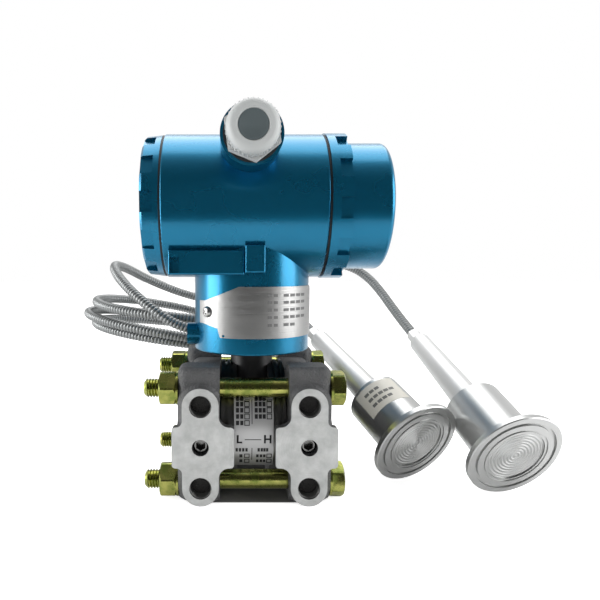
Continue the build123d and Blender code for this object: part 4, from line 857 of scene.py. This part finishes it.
# Remote seals: turned stainless ferrules and bodies with tapered stems, polished bright. The thin
# diaphragm is pressed in rings and welded at its edge over the fill fluid.
DIAPHRAGM_R = 15.5
WAVES = 8
WAVE_HEIGHT = 0.42
DIAPHRAGM_Z = -0.55
seal_steels = {}
satin_stem = new_material("satin_stem", (0.60, 0.605, 0.60), 0.42, 0.7)
for node in ("low_seal_stem", "low_seal_collar", "high_seal_stem", "high_seal_collar"):
    paint(node, satin_stem)
for name in SEALS:
    centre, out, upper = seal_place(name)
    turn = aimed(centre, out, upper).to_euler()
    seal_steels[name] = ringed(f"{name}_seal_steel", (0.50, 0.505, 0.50), 0.33, 3000.0, 0.16, tuple(turn),
                               tuple(centre * MM))
    paint(f"{name}_seal_body", seal_steels[name])
profile = [(0, -1.2), (0, DIAPHRAGM_Z + 0.18), (0.5, DIAPHRAGM_Z + 0.18), (0.8, DIAPHRAGM_Z)]
pitch = 13.4 / WAVES
for k in range(WAVES * 8 + 1):
    radius = 1.4 + pitch * k / 8
    profile.append((radius, DIAPHRAGM_Z + WAVE_HEIGHT * (0.5 - 0.5 * math.cos(2 * math.pi * k / 8))))
profile += [(DIAPHRAGM_R, DIAPHRAGM_Z), (DIAPHRAGM_R, -1.2)]
diaphragm = lathe("diaphragm", profile, steps=96)
for name in SEALS:
    disc = copy_to(diaphragm, aimed(*seal_place(name)), f"{name}_corrugated_diaphragm")
    disc.data.materials.clear()
    disc.data.materials.append(seal_steels[name])
    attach(disc, "sensor_module")
    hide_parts(f"{name}_seal_diaphragm")
bpy.data.objects.remove(diaphragm)

# Seal sticker: a beige printed film on the upper side of the low seal's body.
STICKER_DEG = 32.0
STICKER_BACK = 29.0
STICKER_ROWS = ((4.2, 3), (0.0, 5), (-4.2, 4))
sticker_film = new_material("beige_film", (0.60, 0.58, 0.52), 0.45)
paint("low_seal_label", sticker_film)
sticker_ink = new_material("grey_ink", (0.14, 0.14, 0.13), 0.5)
sticker_sheet = begin_print("sticker_print")
for y, count in STICKER_ROWS:
    for k in range(count):
        print_bar(3.4 * (k - 2.0), y, 2.7, 1.9)
bpy.ops.object.mode_set(mode="OBJECT")
centre, face_out, upper = seal_place("low")
left = face_out.cross(upper)
angle = math.radians(STICKER_DEG)
out = upper * math.cos(angle) + left * math.sin(angle)
along = upper * math.sin(angle) - left * math.cos(angle)
lay_print(sticker_sheet, aimed(centre - face_out * STICKER_BACK + out * 20, out, along), "low_seal_label",
          sticker_ink, "sensor_module")

# Electronics: moulded terminal block with steel screws, two green boards with black chips on steel
# spacers, and the display module behind the cover's glass.
moulding = new_material("black_moulding", (0.018, 0.018, 0.02), 0.45)
for node in ("terminal_block", "wire_feedthrough", "board_chips", "display_module"):
    paint(node, moulding)
laminate = new_material("green_laminate", (0.015, 0.13, 0.05), 0.3)
paint("circuit_boards", laminate)
display_film = new_material("display_film", (0.30, 0.34, 0.27), 0.18)
paint("display_glass", display_film)
DISPLAY_X = 56.7
DISPLAY_Z = 122.35
DIGIT_STEP = 5.6
DIGIT_SIZE = 11.0
digits = []
for k, digit in enumerate("00.00"):
    digits.append(printed_letter(digit, DIGIT_STEP * (k - 2.0), 0.0, DIGIT_SIZE))
digit_sheet = joined("display_digits", digits)
over_display = aimed((DISPLAY_X + 2, AXIS_Y, DISPLAY_Z), (1, 0, 0), (0, 1, 0))
lay_print(digit_sheet, over_display, "display_glass", ink, "housing")
window = new_material("clear_window", (0.95, 0.97, 0.97), 0.02, Transmission_Weight=1.0, IOR=1.5)
paint("window_glass", window)
